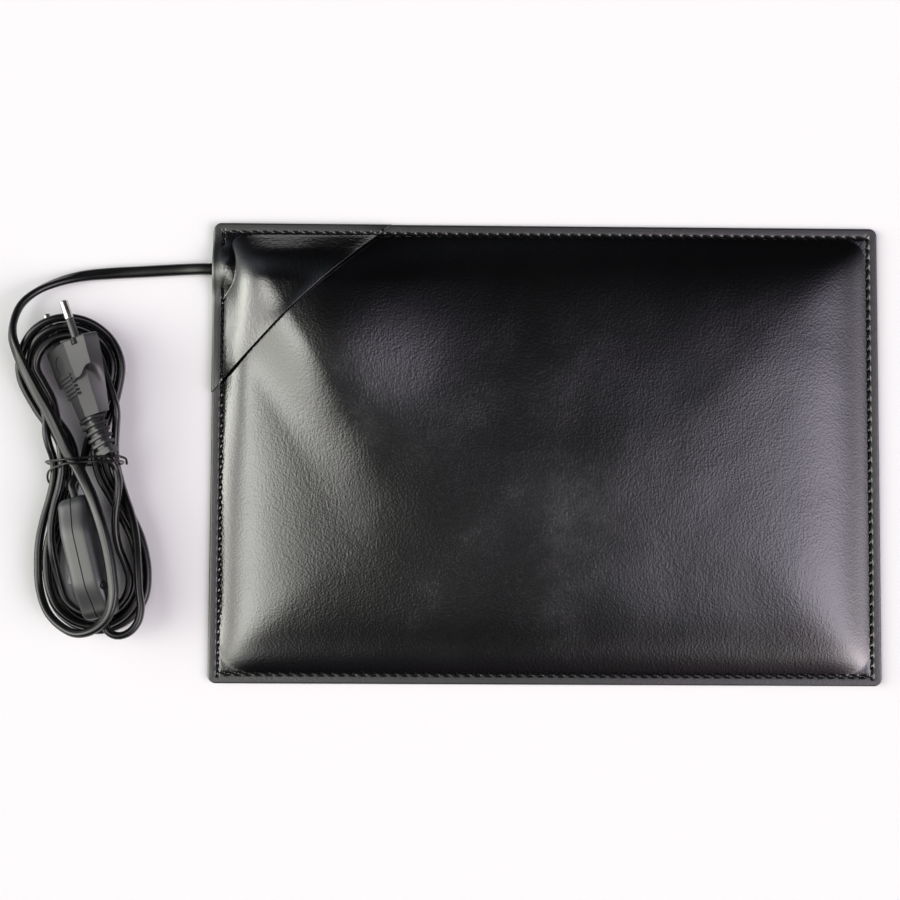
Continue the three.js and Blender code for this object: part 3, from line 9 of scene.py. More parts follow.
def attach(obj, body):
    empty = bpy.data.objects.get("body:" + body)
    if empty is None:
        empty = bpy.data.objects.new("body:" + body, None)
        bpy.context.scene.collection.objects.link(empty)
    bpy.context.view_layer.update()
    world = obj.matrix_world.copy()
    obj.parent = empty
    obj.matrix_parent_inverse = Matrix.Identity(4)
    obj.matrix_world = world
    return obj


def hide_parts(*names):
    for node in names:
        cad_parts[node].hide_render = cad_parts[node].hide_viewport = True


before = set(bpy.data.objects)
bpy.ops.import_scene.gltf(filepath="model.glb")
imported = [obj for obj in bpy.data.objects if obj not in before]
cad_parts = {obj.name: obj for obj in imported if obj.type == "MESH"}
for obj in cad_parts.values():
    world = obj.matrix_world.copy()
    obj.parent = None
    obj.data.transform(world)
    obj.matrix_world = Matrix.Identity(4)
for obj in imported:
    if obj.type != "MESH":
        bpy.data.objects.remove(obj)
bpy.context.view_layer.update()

MM = 0.001
BODY = "mat_and_cord"
UP = np.array((0, 0, 1.0))

# Mat, in millimetres, as in the CAD
PAD_LENGTH, PAD_WIDTH = 320.0, 220.0
HALF_X, HALF_Y = PAD_LENGTH / 2, PAD_WIDTH / 2
PAD_CORNER = 4.0
LEATHER = 1.0
MARGIN_LEVEL = 1.3
SEAM_WIDTH = 6.0
EXIT_Y = 87.5
ENTRY_ANGLE = math.radians(38)
ENTRY = (math.cos(ENTRY_ANGLE), -math.sin(ENTRY_ANGLE))
BEND = (-HALF_X + 8.0, EXIT_Y)
BOX_CENTRE = (-123.63, 65.34)
BOX_HALF = (20.0, 9.0)
BOX_MARGIN = 3.0
BOX_MOUTH = 16.0
CORD_THICK, CORD_WIDE, CORD_STEP, TIE_WIRE = 3.5, 5.6, 1.6, 1.1

# Corner flap: its sides, the bow of its cut edge, that edge's curl and the air under it
FLAP_TOP, FLAP_SIDE, FLAP_BOW = 85.3, 81.7, 2.5
FLAP_CURL, FLAP_GAP = 1.7, 0.12
FLAP_ROWS, FLAP_COLUMNS = 234, 244

# The leather's rise from the thread, steep at first and then a long dome
EDGE_SLOPE, EDGE_FADE = 0.42, 11.0
DOME_SLOPE, DOME_FADE = 0.09, 42.0

# Its rise over the terminal box: height, reach, half the ridge, flank, and the slope up to the right
BOX_COVER, BOX_DRAPE, BOX_SPINE, BOX_RISE = 8.4, 54.0, 13.0, 11.0
BOX_LEAN, LEAN_REACH = 5.8, 32.0

# Its rise over the cord: height at the mat's edge, what is added inwards, and half width
TAIL_RISE, TAIL_MORE, TAIL_DRAPE = 4.05, 1.6, 9.5

# Lattice of the top leather: steps along and across, of its sewn frame, and of its underside
LATTICE_X, LATTICE_Y, COARSE, FRAME = 912, 627, 3, 24
UNDER_X, UNDER_Y = 12, 11

# The layers between the leathers, from the lower sheet up to the foam's top, and where they meet
LAYERS_FROM, FELT_TOP, CARRIER_FROM, CARRIER_TOP, FOAM_FROM, LAYERS_TO = 1.05, 2.9, 3.2, 3.6, 5.4, 6.4

# Heating wire and cores
STRAND, STRAND_LEVEL = 1.2, 4.5
CORE, CORE_LEVEL = 1.8, 4.52
TAIL_LEVEL, TAIL_CLIMB, TAIL_LENGTH = 3.05, 1.5, 32.2

# Stitching
STITCH_INSET = 4.6
STITCH_PITCH = 4.9
STITCH_GAP = (EXIT_Y - 9.5, EXIT_Y + 9.0)
STITCH_SLANT = 0.42
PIT_LENGTH, PIT_WIDTH, PIT_DEPTH = 1.35, 0.68, 0.85
VALLEY_HALF, VALLEY_DEPTH = 1.3, 0.16
ROUND_WIDE, ROUND_DEEP = 0.9, 0.5
THREAD = 0.8

# Hank: its place, its lobes and waist, the pitch of its turns and the level of its layers
HANK_X, HANK_Y, HANK_LEAN = -220.5, -5.0, math.radians(8)
UPPER_REACH, LOWER_REACH = 43.2, 57.6
UPPER_LOBE, LOWER_LOBE, WAIST = 25.0, 24.4, 10.0
TURN_PITCH, TURN_STEPS, CROSSING = 4.1, 24, 51
FIRST_STEP, LAST_STEP = 18, 98
LAYER_LEVEL, LAYER_STEP, WAIST_LIFT = 2.95, 6.1, 1.9
PIN_ARCH, PIN_SHARE = 7.4, 0.43

# Switch and plug, in the hank's own axes
SWITCH_UPPER = (-17.8, -3.0, 19.2)
SWITCH_LOWER = (-75.3, 3.1, 19.2)
SWITCH_ROLL = math.radians(17)
CORD_IN_SWITCH = 6.2
PLUG_FRONT = (53.4, 2.0, 18.5)
PLUG_YAW, PLUG_DIP, PLUG_TILT = math.radians(12), math.radians(1.2), math.radians(52)
PLUG_LENGTH = 36.0
PIN_SIDE = 9.5
RELIEF_LENGTH, RELIEF_BEND, RELIEF_PLATES = 19.0, math.radians(9), 6
JOINT_GAP = 0.3

# Routes along the hank, across it and up, the lead's with the cord's roll in degrees
LEAD_ROUTE = [
    (85, 58, 2.2, 90), (86.4, 40, 2.1, 90), (87.6, 24, 2.35, 82), (88, 11, 3, 62), (86.6, 0, 4.6, 38),
    (83, -10.6, 7.4, 16), (77, -18.4, 11, 6), (69, -22.4, 14, 14), (61, -23.2, 17.3, 34),
    (52.5, -21.4, 18.7, 50), (43.5, -18.6, 18.9, 62), (33, -14.6, 19.6, 72), (22, -9.8, 20.7, 78),
    (11, -6, 21.4, 82), (2.5, -3, 22, 86), (-4.5, 0.6, 23, 86), (-12, 3.6, 25, 80), (-20, 6.4, 27, 72),
    (-31, 9, 29.2, 66), (-45, 10.9, 29.6, 62), (-57, 11.3, 29.3, 60), (-66.3, 10.6, 28.8, 54),
    (-74.8, 6.8, 27.4, 42), (-80, -0.6, 24.8, 24), (-80.8, -9.4, 20.6, 10), (-76.2, -17.4, 16, 4),
    (-68.4, -23.6, 11.6, 0), (-57.6, -26.2, 9.2, 0), (-46, -25.6, 9.05, 0), (-35, -23.6, 9.05, 0),
    (-25, -20.2, 9.1, 0), (-15, -15.8, 9.8, 0), (-6, -12.8, 10.8, 0), (2, -12, 12.4, 0),
    (8, -12.8, 14.9, 0), (13.5, -13.2, 15.8, 0), (20, -12.6, 15.4, 0), (26.6, -13.2, 14.5, 0),
    (32, -15.2, 11.8, 0),
]
PLUG_CORD_ROUTE = [
    (-6.4, 17.2, 18), (-13, 17.8, 17.6), (-20, 16.6, 17.4), (-28, 14.4, 16.2),
    (-36, 13, 13.8), (-44, 13.2, 11.2), (-51, 14.8, 9.6), (-58.6, 16, 9.05),
    (-65.8, 13.8, 9.05), (-70.8, 9, 9.05), (-73.2, 2.8, 9.05), (-72.8, -4.2, 9.05),
    (-69.8, -10.2, 9.05), (-64.6, -14.6, 9.2), (-57, -16.2, 10.2), (-49, -16.8, 12.4),
    (-41, -17, 15.1), (-33, -16.6, 15.3), (-26, -15.2, 15.4), (-19, -12.8, 15.6),
    (-11, -9.6, 16), (-3, -7.4, 16.8), (5, -7.2, 16.8), (13, -7.6, 16),
    (22, -7.8, 15.1), (30, -8.8, 14.95), (38, -11.8, 15.1), (45.6, -14.3, 15.6),
    (51.8, -12, 15.9), (56.1, -7.4, 16), (58.2, -0.8, 16), (57.8, 6.6, 16),
    (53.5, 13, 15.8), (46, 16.2, 15.5), (37, 17.8, 15.3), (28, 19.6, 15.2),
    (20, 20.4, 14.8), (12, 18.6, 12), (4, 16.9, 9.8), (-4, 16.4, 9),
    (-12, 17.4, 9.4), (-20, 19, 11.2), (-28, 21, 13.2), (-36, 22.2, 15.2),
    (-45, 22.4, 16.8), (-55, 21.9, 18.4), (-65, 21.3, 19.1), (-73, 21.2, 19.2),
    (-79.4, 19, 19.2), (-83.6, 14.4, 19.2), (-84.4, 9, 19.2), (-81.9, 5, 19.2),
]
SWITCH_FEED = [(19, 8.2, 3.5), (11.5, 5, 5.2), (4.5, 3, 8), (-1.5, 1.6, 11.6), (-6.6, -0.6, 15.4)]
TIE_ROUTE = [
    (-8.6, -16.4, 7.4), (-6.4, -16.2, 10.4), (-4, -14.6, 14.2), (-3, -11.2, 18.8), (-2.6, -7.8, 22.6),
    (-2.4, -4.6, 25.2), (-2.4, 0, 26), (-2.6, 5, 25.4), (-3, 10, 24), (-3.6, 14.4, 23.6),
    (-4, 18.6, 23), (-4, 20.4, 17.6), (-4, 19.8, 9), (-4, 17.2, 2.6), (-3.6, 14, 0.75),
    (-3, 8, 0.65), (-2, 0, 0.65), (-0.6, -8, 0.65), (0, -13.2, 1.2), (0.4, -15.6, 4.6),
    (0.8, -15.8, 11), (0.7, -14.8, 15.6), (0.3, -11, 20.2), (-0.2, -5.2, 24.6), (-0.4, -1.4, 25.6),
    (-0.6, 4, 25.2), (-0.9, 11, 24), (-1.4, 16, 23.8), (-2, 20.4, 22.8), (-3.4, 22.8, 19.6),
    (-5.6, 22.6, 17.4),
]

# Camera
camera_data = bpy.data.cameras.new("camera")
camera_data.sensor_width = 36
camera_data.lens = 70.96
camera = bpy.data.objects.new("camera", camera_data)
camera.location = (-0.05988, -0.05938, 0.84783)
camera.rotation_euler = [math.radians(angle) for angle in (4.098, -0.965, 0.317)]
bpy.context.scene.collection.objects.link(camera)
bpy.context.scene.camera = camera


# Mesh helpers
def mesh_object(name, verts, faces, smooth=True):
    mesh = bpy.data.meshes.new(name)
    mesh.from_pydata([tuple(float(c) * MM for c in v) for v in verts], [], faces)
    mesh.validate()
    if smooth:
        mesh.polygons.foreach_set("use_smooth", [True] * len(mesh.polygons))
    mesh.update()
    piece = bpy.data.objects.new(name, mesh)
    bpy.context.scene.collection.objects.link(piece)
    return piece


def ring_faces(rows, count):
    """Faces of a closed body of rings, its two ends included."""
    faces = []
    for k in range(rows - 1):
        for i in range(count):
            j = (i + 1) % count
            faces.append((k * count + i, k * count + j, (k + 1) * count + j, (k + 1) * count + i))
    faces.append(tuple(range(count - 1, -1, -1)))
    faces.append(tuple((rows - 1) * count + i for i in range(count)))
    return faces


def catmull(points, per=12):
    """Centripetal Catmull-Rom curve through points, per steps between each pair."""
    p = np.array(points, float)
    p = np.vstack([2 * p[0] - p[1], p, 2 * p[-1] - p[-2]])
    d = np.maximum(np.linalg.norm(np.diff(p[:, :3], axis=0), axis=1) ** 0.5, 1e-4)
    out = []
    for i in range(1, len(p) - 2):
        p0, p1, p2, p3 = p[i - 1:i + 3]
        d0, d1, d2 = d[i - 1:i + 2]
        m1 = ((p1 - p0) / d0 - (p2 - p0) / (d0 + d1) + (p2 - p1) / d1) * d1
        m2 = ((p2 - p1) / d1 - (p3 - p1) / (d1 + d2) + (p3 - p2) / d2) * d1
        for t in np.arange(per) / per:
            out.append((2 * t**3 - 3 * t**2 + 1) * p1 + (t**3 - 2 * t**2 + t) * m1
                       + (-2 * t**3 + 3 * t**2) * p2 + (t**3 - t**2) * m2)
    out.append(p[-2])
    return np.array(out)


def even(points, step):
    """Resamples a polyline at an even step. Every column is carried along."""
    gaps = np.linalg.norm(np.diff(points[:, :3], axis=0), axis=1)
    s = np.concatenate([[0], np.cumsum(gaps)])
    n = max(int(round(s[-1] / step)), 2)
    at = np.linspace(0, s[-1], n + 1)
    return np.stack([np.interp(at, s, points[:, k]) for k in range(points.shape[1])], axis=1)


def unit(vector):
    return vector / np.linalg.norm(vector)


def frames_along(path, roll=0.0):
    """Cross directions at each point of a path: side across it, rise up it, turned by its roll."""
    along = np.gradient(path, axis=0)
    along /= np.linalg.norm(along, axis=1, keepdims=True)
    side = np.cross(along, UP)
    side /= np.linalg.norm(side, axis=1, keepdims=True)
    rise = np.cross(side, along)
    turn = np.broadcast_to(roll, len(path))[:, None]
    c, s = np.cos(turn), np.sin(turn)
    return side * c + rise * s, rise * c - side * s


def circle(count, power=1.0):
    """Points round a unit circle, or round a fuller figure at a power under 1."""
    turns = [2 * math.pi * k / count for k in range(count)]
    return [tuple(math.copysign(abs(t) ** power, t) for t in (math.cos(a), math.sin(a))) for a in turns]


def round_section(diameter, count=12):
    return [(diameter / 2 * c, diameter / 2 * s) for c, s in circle(count)]


def flat_section(thick, wide, per_end=8):
    """Outline of a flat cord: two half rounds joined by flats."""
    r = thick / 2
    outline = []
    for start, flat in ((0, wide / 2 - r), (math.pi, r - wide / 2)):
        for k in range(per_end + 1):
            a = start + math.pi * k / per_end
            outline.append((r * math.cos(a), flat + r * math.sin(a)))
    return outline


def tube(name, path, outline, roll=0.0):
    side, rise = frames_along(path, roll)
    verts = np.stack([path + side * a + rise * b for a, b in outline], axis=1).reshape(-1, 3)
    return mesh_object(name, verts, ring_faces(len(path), len(outline)))


# Hank
AXIS = np.array((-math.sin(HANK_LEAN), math.cos(HANK_LEAN), 0))
ACROSS = np.array((math.cos(HANK_LEAN), math.sin(HANK_LEAN), 0))


def from_hank(p, q, z):
    """A point given along the hank, across it and up."""
    return np.array((HANK_X, HANK_Y, z)) + AXIS * p + ACROSS * q


def smooth_step(t):
    u = np.clip(t, 0, 1)
    return u * u * (3 - 2 * u)


def drawn_in(along):
    """1 at the waist, 0 where the round lobes begin."""
    share = min(abs(along) / (UPPER_REACH if along > 0 else LOWER_REACH), 1)
    wave = (1 + math.cos(math.pi * share)) / 2
    return wave if along > 0 else wave**1.6


def run_half_width(along):
    lobe = UPPER_LOBE if along > 0 else LOWER_LOBE
    return lobe - (lobe - WAIST) * drawn_in(along)


def hank_place(step):
    """One place on the hank: its turns spiral out on the upper layer and in on the lower."""
    quarters = (step % TURN_STEPS) * 4 / TURN_STEPS
    quarter = int(quarters)
    share = quarters - quarter
    inward = abs(step - CROSSING) / TURN_STEPS * TURN_PITCH
    layer = min(max((CROSSING - step) / 2 + 0.5, 0), 1)
    arch = 0.0
    if quarter in (0, 2):
        sign = 1 if quarter == 0 else -1
        run = share * (UPPER_REACH + LOWER_REACH)
        along = UPPER_REACH - run if quarter == 0 else run - LOWER_REACH
        probe = TURN_PITCH / 4
        slope = (run_half_width(along + probe) - run_half_width(along - probe)) / (2 * probe)
        across = drawn_in(along) + sign * (run_half_width(along) - inward * math.hypot(1, slope))
    else:
        foot = quarter == 1
        radius = (LOWER_LOBE if foot else UPPER_LOBE) - inward
        angle = -share * math.pi if foot else math.pi * (1 - share)
        along = (-LOWER_REACH if foot else UPPER_REACH) + radius * math.sin(angle)
        across = radius * math.cos(angle)
        from_pin = min(abs(share - PIN_SHARE) / 0.5, 1)
        arch = 0.0 if foot else PIN_ARCH * math.cos(from_pin * math.pi / 2) ** 2 * layer
    lift = WAIST_LIFT * (1 - float(smooth_step(abs(along) / 24.0)))
    return from_hank(along, across, LAYER_LEVEL + LAYER_STEP * layer + lift + arch)


# Cords
def relief_frame():
    """The way back from the plug's face, and the level way across it."""
    back = -AXIS * math.cos(PLUG_YAW) + ACROSS * math.sin(PLUG_YAW)
    back = back * math.cos(PLUG_DIP) + UP * math.sin(PLUG_DIP)
    return back, unit(np.cross(UP, back))


def relief_place(share):
    """A place on the boot's bent axis, and the way that it runs there."""
    back, aside = relief_frame()
    angle = RELIEF_BEND * share
    start = from_hank(*PLUG_FRONT) + back * (PLUG_LENGTH + JOINT_GAP)
    point = start + back * RELIEF_LENGTH * share + aside * RELIEF_LENGTH * RELIEF_BEND * share * share / 2
    return point, back * math.cos(angle) + aside * math.sin(angle)


def rolled(points, degrees=0.0):
    """Points with the cord's roll as a fourth value."""
    return [(*point, math.radians(degrees)) for point in points]


upper_tip, lower_tip = from_hank(*SWITCH_UPPER), from_hank(*SWITCH_LOWER)
switch_axis = unit(upper_tip - lower_tip)
FLAT_CORD = flat_section(CORD_THICK, CORD_WIDE)

next_place = hank_place(FIRST_STEP)
first_place = next_place * 0.8 + hank_place(FIRST_STEP - 1) * 0.2
run_dir = unit(next_place - first_place)
lead_end = first_place - run_dir * JOINT_GAP
edge = np.array((-HALF_X - JOINT_GAP, EXIT_Y, TAIL_LEVEL))
lead_stops = rolled([edge, edge + (-CORD_WIDE, 0, 0)], 90)
for stop in LEAD_ROUTE:
    lead_stops += rolled([from_hank(*stop[:3])], stop[3])
feed = [from_hank(*p) for p in SWITCH_FEED]
feed += [upper_tip + switch_axis * reach for reach in (CORD_WIDE, JOINT_GAP, JOINT_GAP - CORD_IN_SWITCH)]
loops = [lead_end - run_dir * CORD_THICK, first_place] + [hank_place(s) for s in range(FIRST_STEP, LAST_STEP)]
mains_path = even(catmull(lead_stops + rolled(loops + feed)), CORD_STEP)
mains_cord = tube("mains_cord", mains_path[:, :3], FLAT_CORD, mains_path[:, 3])

relief_point, relief_dir = relief_place(1)
relief_end = relief_point + relief_dir * JOINT_GAP
plug_stops = [relief_end, relief_end + relief_dir * CORD_THICK] + [from_hank(*p) for p in PLUG_CORD_ROUTE]
plug_stops += [lower_tip, lower_tip + switch_axis * CORD_IN_SWITCH]
plug_path = even(catmull(plug_stops), CORD_STEP)[::-1]
plug_cord = tube("plug_cord", plug_path, FLAT_CORD)

tie_path = even(catmull([from_hank(*p) for p in TIE_ROUTE]), CORD_STEP / 2)
tie = tube("tie_wire", tie_path, round_section(TIE_WIRE, 10))


# Materials
def add_node(tree, kind, inputs=None, **props):
    """A node with its settings, and its inputs by name or number: sockets are linked, values are set."""
    made = tree.nodes.new(kind)
    for key, value in props.items():
        setattr(made, key, value)
    for key, value in (inputs or {}).items():
        if isinstance(value, bpy.types.NodeSocket):
            tree.links.new(value, made.inputs[key])
        else:
            made.inputs[key].default_value = value
    return made


class Nodes:
    """A small writer of node trees."""

    def __init__(self, name, **values):
        self.material = bpy.data.materials.new(name)
        self.material.use_nodes = True
        self.tree = self.material.node_tree
        self.bsdf = self.tree.nodes["Principled BSDF"]
        self.coords = self.node("ShaderNodeTexCoord").outputs["Object"]
        for key, value in values.items():
            self.bsdf.inputs[key.replace("_", " ")].default_value = value

    def node(self, kind, inputs=None, **props):
        return add_node(self.tree, kind, inputs, **props)

    def mapped(self, scale, rotate=(0, 0, 0), vector=None):
        inputs = {"Vector": vector or self.coords, "Scale": scale, "Rotation": rotate}
        return self.node("ShaderNodeMapping", inputs).outputs["Vector"]

    def noise(self, scale, detail=4.0, rough=0.55, vector=None, distort=0.0):
        inputs = {"Vector": vector or self.coords, "Scale": scale, "Detail": detail, "Roughness": rough,
                  "Distortion": distort}
        return self.node("ShaderNodeTexNoise", inputs).outputs["Fac"]

    def math(self, op, a, b=0.0, c=0.0):
        return self.node("ShaderNodeMath", {0: a, 1: b, 2: c}, operation=op).outputs[0]

    def weighted(self, *terms):
        """Sum of values, each times its weight."""
        total = 0.0
        for value, weight in terms:
            total = self.math("MULTIPLY_ADD", value, weight, total)
        return total

    def span(self, value, low, high, to_low=0.0, to_high=1.0):
        inputs = {"Value": value, "From Min": low, "From Max": high, "To Min": to_low, "To Max": to_high}
        return self.node("ShaderNodeMapRange", inputs).outputs["Result"]

    def bump(self, height, distance, strength):
        inputs = {"Height": height, "Distance": distance, "Strength": strength}
        self.link(self.node("ShaderNodeBump", inputs).outputs["Normal"], "Normal")

    def tint(self, share, dark, light):
        inputs = {"Factor": share, 6: (*dark, 1), 7: (*light, 1)}
        self.link(self.node("ShaderNodeMix", inputs, data_type="RGBA").outputs[2], "Base Color")

    def link(self, output, name):
        self.tree.links.new(output, self.bsdf.inputs[name])


def leather_material():
    """Glossy leatherette: fine grain, patches of creases, and a duller margin where the sewing presses it."""
    n = Nodes("leatherette", IOR=1.94)
    warp = n.node("ShaderNodeCombineXYZ", {"X": n.noise(28.0, 2.0), "Y": n.noise(23.0, 2.0)}).outputs[0]
    placed = n.node("ShaderNodeVectorMath", {0: warp, 1: (0.004, 0.004, 0.0), 2: n.coords},
                    operation="MULTIPLY_ADD").outputs[0]
    grain = n.node("ShaderNodeTexVoronoi", {"Vector": placed, "Scale": 1050.0},
                   feature="SMOOTH_F1").outputs["Distance"]
    fine = n.noise(1500.0, 3.0, 0.6)
    streaks = n.noise(1.0, 5.0, 0.62, vector=n.mapped((950, 260, 500), (0, 0, 0.35), placed))
    creases = n.math("MULTIPLY", streaks, n.span(n.noise(22.0, 3.0, 0.6), 0.38, 0.68))
    n.bump(n.weighted((grain, 0.5), (fine, 0.22), (creases, 1.1)), 0.00022, 0.4)
    tone = n.noise(14.0, 4.0, 0.6)
    n.tint(tone, (0.0018, 0.0019, 0.0022), (0.0032, 0.0033, 0.0037))
    place = n.node("ShaderNodeSeparateXYZ", {0: n.coords})
    from_side = n.math("SUBTRACT", HALF_X * MM, n.math("ABSOLUTE", place.outputs[0]))
    from_end = n.math("SUBTRACT", HALF_Y * MM, n.math("ABSOLUTE", place.outputs[1]))
    pressed = n.span(n.math("MINIMUM", from_side, from_end), 0.0048, 0.0036)
    gloss = n.span(n.weighted((fine, 0.4), (tone, 0.6)), 0.3, 0.7, 0.11, 0.17)
    n.link(n.math("MULTIPLY_ADD", pressed, 0.2, gloss), "Roughness")
    return n.material


def cord_material():
    n = Nodes("cord_pvc", IOR=1.5)
    fine, wide = n.noise(900.0, 3.0), n.noise(45.0, 2.0)
    n.bump(n.weighted((fine, 0.3), (wide, 1.0)), 0.0001, 0.3)
    n.tint(wide, (0.003, 0.003, 0.0033), (0.006, 0.006, 0.0064))
    n.link(n.span(fine, 0.3, 0.7, 0.17, 0.25), "Roughness")
    return n.material


def thread_material():
    n = Nodes("thread", IOR=1.3, Roughness=0.75)
    twist = n.node("ShaderNodeTexWave", {"Vector": n.coords, "Scale": 900.0, "Distortion": 1.0},
                   bands_direction="DIAGONAL").outputs["Fac"]
    n.bump(twist, 0.0001, 0.8)
    n.tint(twist, (0.002, 0.002, 0.0025), (0.006, 0.006, 0.0065))
    return n.material


def plastic_material(name, dark, light, rough=(0.42, 0.55)):
    n = Nodes(name, IOR=1.72)
    fine, wide = n.noise(2600.0, 2.0, 0.6), n.noise(60.0, 3.0)
    n.bump(fine, 0.00006, 0.5)
    n.tint(wide, dark, light)
    n.link(n.span(n.weighted((fine, 0.5), (wide, 0.5)), 0.3, 0.7, *rough), "Roughness")
    return n.material


def metal_material(name, colour, rough=(0.18, 0.3)):
    n = Nodes(name, Metallic=1.0)
    lines = n.noise(1.0, 4.0, 0.6, vector=n.mapped((300, 300, 4000)))
    wide = n.noise(200.0, 2.0)
    n.bump(lines, 0.00003, 0.4)
    n.tint(wide, [c * 0.85 for c in colour], colour)
    n.link(n.span(wide, 0.3, 0.7, *rough), "Roughness")
    return n.material


def fibre_material(name, dark, light, scale=700.0):
    n = Nodes(name, IOR=1.45, Roughness=0.95)
    fibres = n.noise(1.0, 6.0, 0.7, vector=n.mapped((scale, scale * 3, scale)), distort=1.5)
    n.bump(fibres, 0.0003, 0.8)
    n.tint(n.weighted((fibres, 0.6), (n.noise(40.0, 3.0), 0.4)), dark, light)
    return n.material


LEATHERETTE = leather_material()
PVC = cord_material()
THREAD_BLACK = thread_material()
SHELL = plastic_material("switch_plastic", (0.014, 0.015, 0.017), (0.022, 0.023, 0.025), (0.34, 0.42))
PLUG_PLASTIC = plastic_material("plug_plastic", (0.014, 0.014, 0.016), (0.024, 0.024, 0.026), (0.34, 0.44))
GREY = plastic_material("grey_plastic", (0.09, 0.1, 0.11), (0.12, 0.13, 0.14))
WHITE = plastic_material("white_plastic", (0.6, 0.6, 0.56), (0.72, 0.72, 0.68), (0.4, 0.5))
NICKEL = metal_material("nickel", (0.68, 0.66, 0.62))
BRASS = metal_material("brass_metal", (0.58, 0.4, 0.16))
STEEL = metal_material("steel_metal", (0.5, 0.51, 0.52), (0.25, 0.4))
BLACK_STEEL = metal_material("blackened_steel", (0.03, 0.03, 0.033), (0.4, 0.55))
FELT = fibre_material("felt_fibre", (0.22, 0.23, 0.22), (0.33, 0.34, 0.33))
CLOTH = fibre_material("carrier_weave", (0.55, 0.53, 0.45), (0.75, 0.73, 0.66), 1200.0)
FOAM = fibre_material("foam_cells", (0.05, 0.055, 0.06), (0.09, 0.095, 0.1), 900.0)
SILICONE = plastic_material("silicone_sheath", (0.36, 0.03, 0.02), (0.48, 0.05, 0.035), (0.5, 0.65))
BROWN = plastic_material("core_brown_sheath", (0.13, 0.06, 0.025), (0.18, 0.085, 0.04), (0.3, 0.4))
BLUE = plastic_material("core_blue_sheath", (0.02, 0.08, 0.32), (0.035, 0.11, 0.44), (0.3, 0.4))


def dress(piece, material, slot, *stands_for):
    """Gives a piece its material and body, and hides the CAD nodes that it stands for. The slot is not used.
    """
    piece.data.materials.clear()
    piece.data.materials.append(material)
    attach(piece, BODY)
    if stands_for:
        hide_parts(*stands_for)


# Rigid pieces with finer forms
def turned(vector, axis, angle):
    """A direction turned about an axis."""
    return np.array(Matrix.Rotation(angle, 3, Vector(axis)) @ Vector(vector))


# A group's origin and its own axes
SHARED = np.zeros(3), np.eye(3)
switch_z = turned(unit(np.cross(UP, switch_axis)), switch_axis, -SWITCH_ROLL)
SWITCH = (upper_tip + lower_tip) / 2, np.array([switch_axis, np.cross(switch_z, switch_axis), switch_z])
HALF_SWITCH = float(np.linalg.norm(upper_tip - lower_tip)) / 2
plug_x = -relief_frame()[0]
plug_y = -turned(unit(np.cross(plug_x, UP)), plug_x, -PLUG_TILT)
PLUG = from_hank(*PLUG_FRONT), np.array([plug_x, plug_y, np.cross(plug_x, plug_y)])


def group_object(group, name, verts, faces):
    """A mesh whose points are given in a group's axes."""
    origin, basis = group
    return mesh_object(name, np.asarray(verts, float) @ basis + origin, faces)


def loft(group, name, rings):
    """A closed body through rings of points."""
    faces = ring_faces(len(rings), len(rings[0]))
    return group_object(group, name, [p for ring in rings for p in ring], faces)


def block(group, xs, ys, zs):
    """A box between two places on each axis."""
    verts = [(x, y, z) for x in xs for y in ys for z in zs]
    faces = [(0, 1, 3, 2), (4, 6, 7, 5), (0, 4, 5, 1), (2, 3, 7, 6), (0, 2, 6, 4), (1, 5, 7, 3)]
    return group_object(group, "cutter", verts, faces)


def rod(group, centre, axis, ends, radius, count=32):
    """A cylinder along axis 0, 1 or 2, centred in the other two."""
    outline = [(centre[0] + radius * c, centre[1] + radius * s) for c, s in circle(count)]
    return loft(group, "cutter", [[np.insert(place, axis, end) for place in outline] for end in ends])


def outward(piece):
    """Turns a closed mesh's faces out."""
    work = bmesh.new()
    work.from_mesh(piece.data)
    bmesh.ops.recalc_face_normals(work, faces=work.faces)
    work.to_mesh(piece.data)
    work.free()


def carve(piece, tools, operation):
    """Cuts, joins or meets a piece with each tool in turn, and takes the tools away."""
    for tool in tools:
        outward(piece)
        outward(tool)
        modifier = piece.modifiers.new("carve", "BOOLEAN")
        modifier.operation = operation
        modifier.solver = "EXACT"
        modifier.object = tool
        bpy.context.view_layer.update()
        made = bpy.data.meshes.new_from_object(piece.evaluated_get(bpy.context.evaluated_depsgraph_get()))
        piece.modifiers.clear()
        piece.data = made
        bpy.data.objects.remove(tool)


def crisp(piece, angle=32):
    """Smooth faces that meet in a sharp edge past an angle."""
    mesh = piece.data
    mesh.polygons.foreach_set("use_smooth", [True] * len(mesh.polygons))
    mesh.set_sharp_from_angle(angle=math.radians(angle))
    return piece


def switch_body(name, inner=0.0, stations=56, count=88):
    """A whole switch body with full rounded edges, or its hollow when drawn in."""
    end_half, belly, narrows_at, narrowing = 5.9, 4.1, 10.5, 17.5
    half_height, droop, end_round = 8.25, 0.35, 4.2
    length = HALF_SWITCH - inner
    rings = []
    for k in range(stations + 1):
        x = -length * math.cos(math.pi * k / stations)
        reach = max(abs(x) - (length - end_round), 0) / end_round
        off = end_round * (1 - math.sqrt(max(1 - reach * reach, 0))) * 0.86
        full = 1 - float(smooth_step((abs(x) - narrows_at) / narrowing))
        width = end_half + belly * full - inner - off
        height = half_height - droop * (abs(x) / length) ** 2 - inner - off
        rings.append([(x, width * c, height * s) for c, s in circle(count, 2 / 4.4)])
    return loft(SWITCH, name, rings)


# Past the switch on every side, for cuts that go right through it
LONG, WIDE, DEEP = (-40, 40), (-20, 20), 20
ROCKER_X, ROCKER_Y = (-12.0, 7.0), (-5.4, 5.4)
SHELL_WALL, LIP_INSET, GROOVE = 1.8, 0.6, 0.28
SCREW_PLACES = [(HALF_SWITCH / 2, 6.4), (-HALF_SWITCH / 2, -6.4)]


def switch_hollow():
    """The room in the switch and the way of the cord through its ends."""
    return [switch_body("hollow", SHELL_WALL, 40, 64), block(SWITCH, LONG, (-3.15, 3.15), (-2.1, 2.1))]


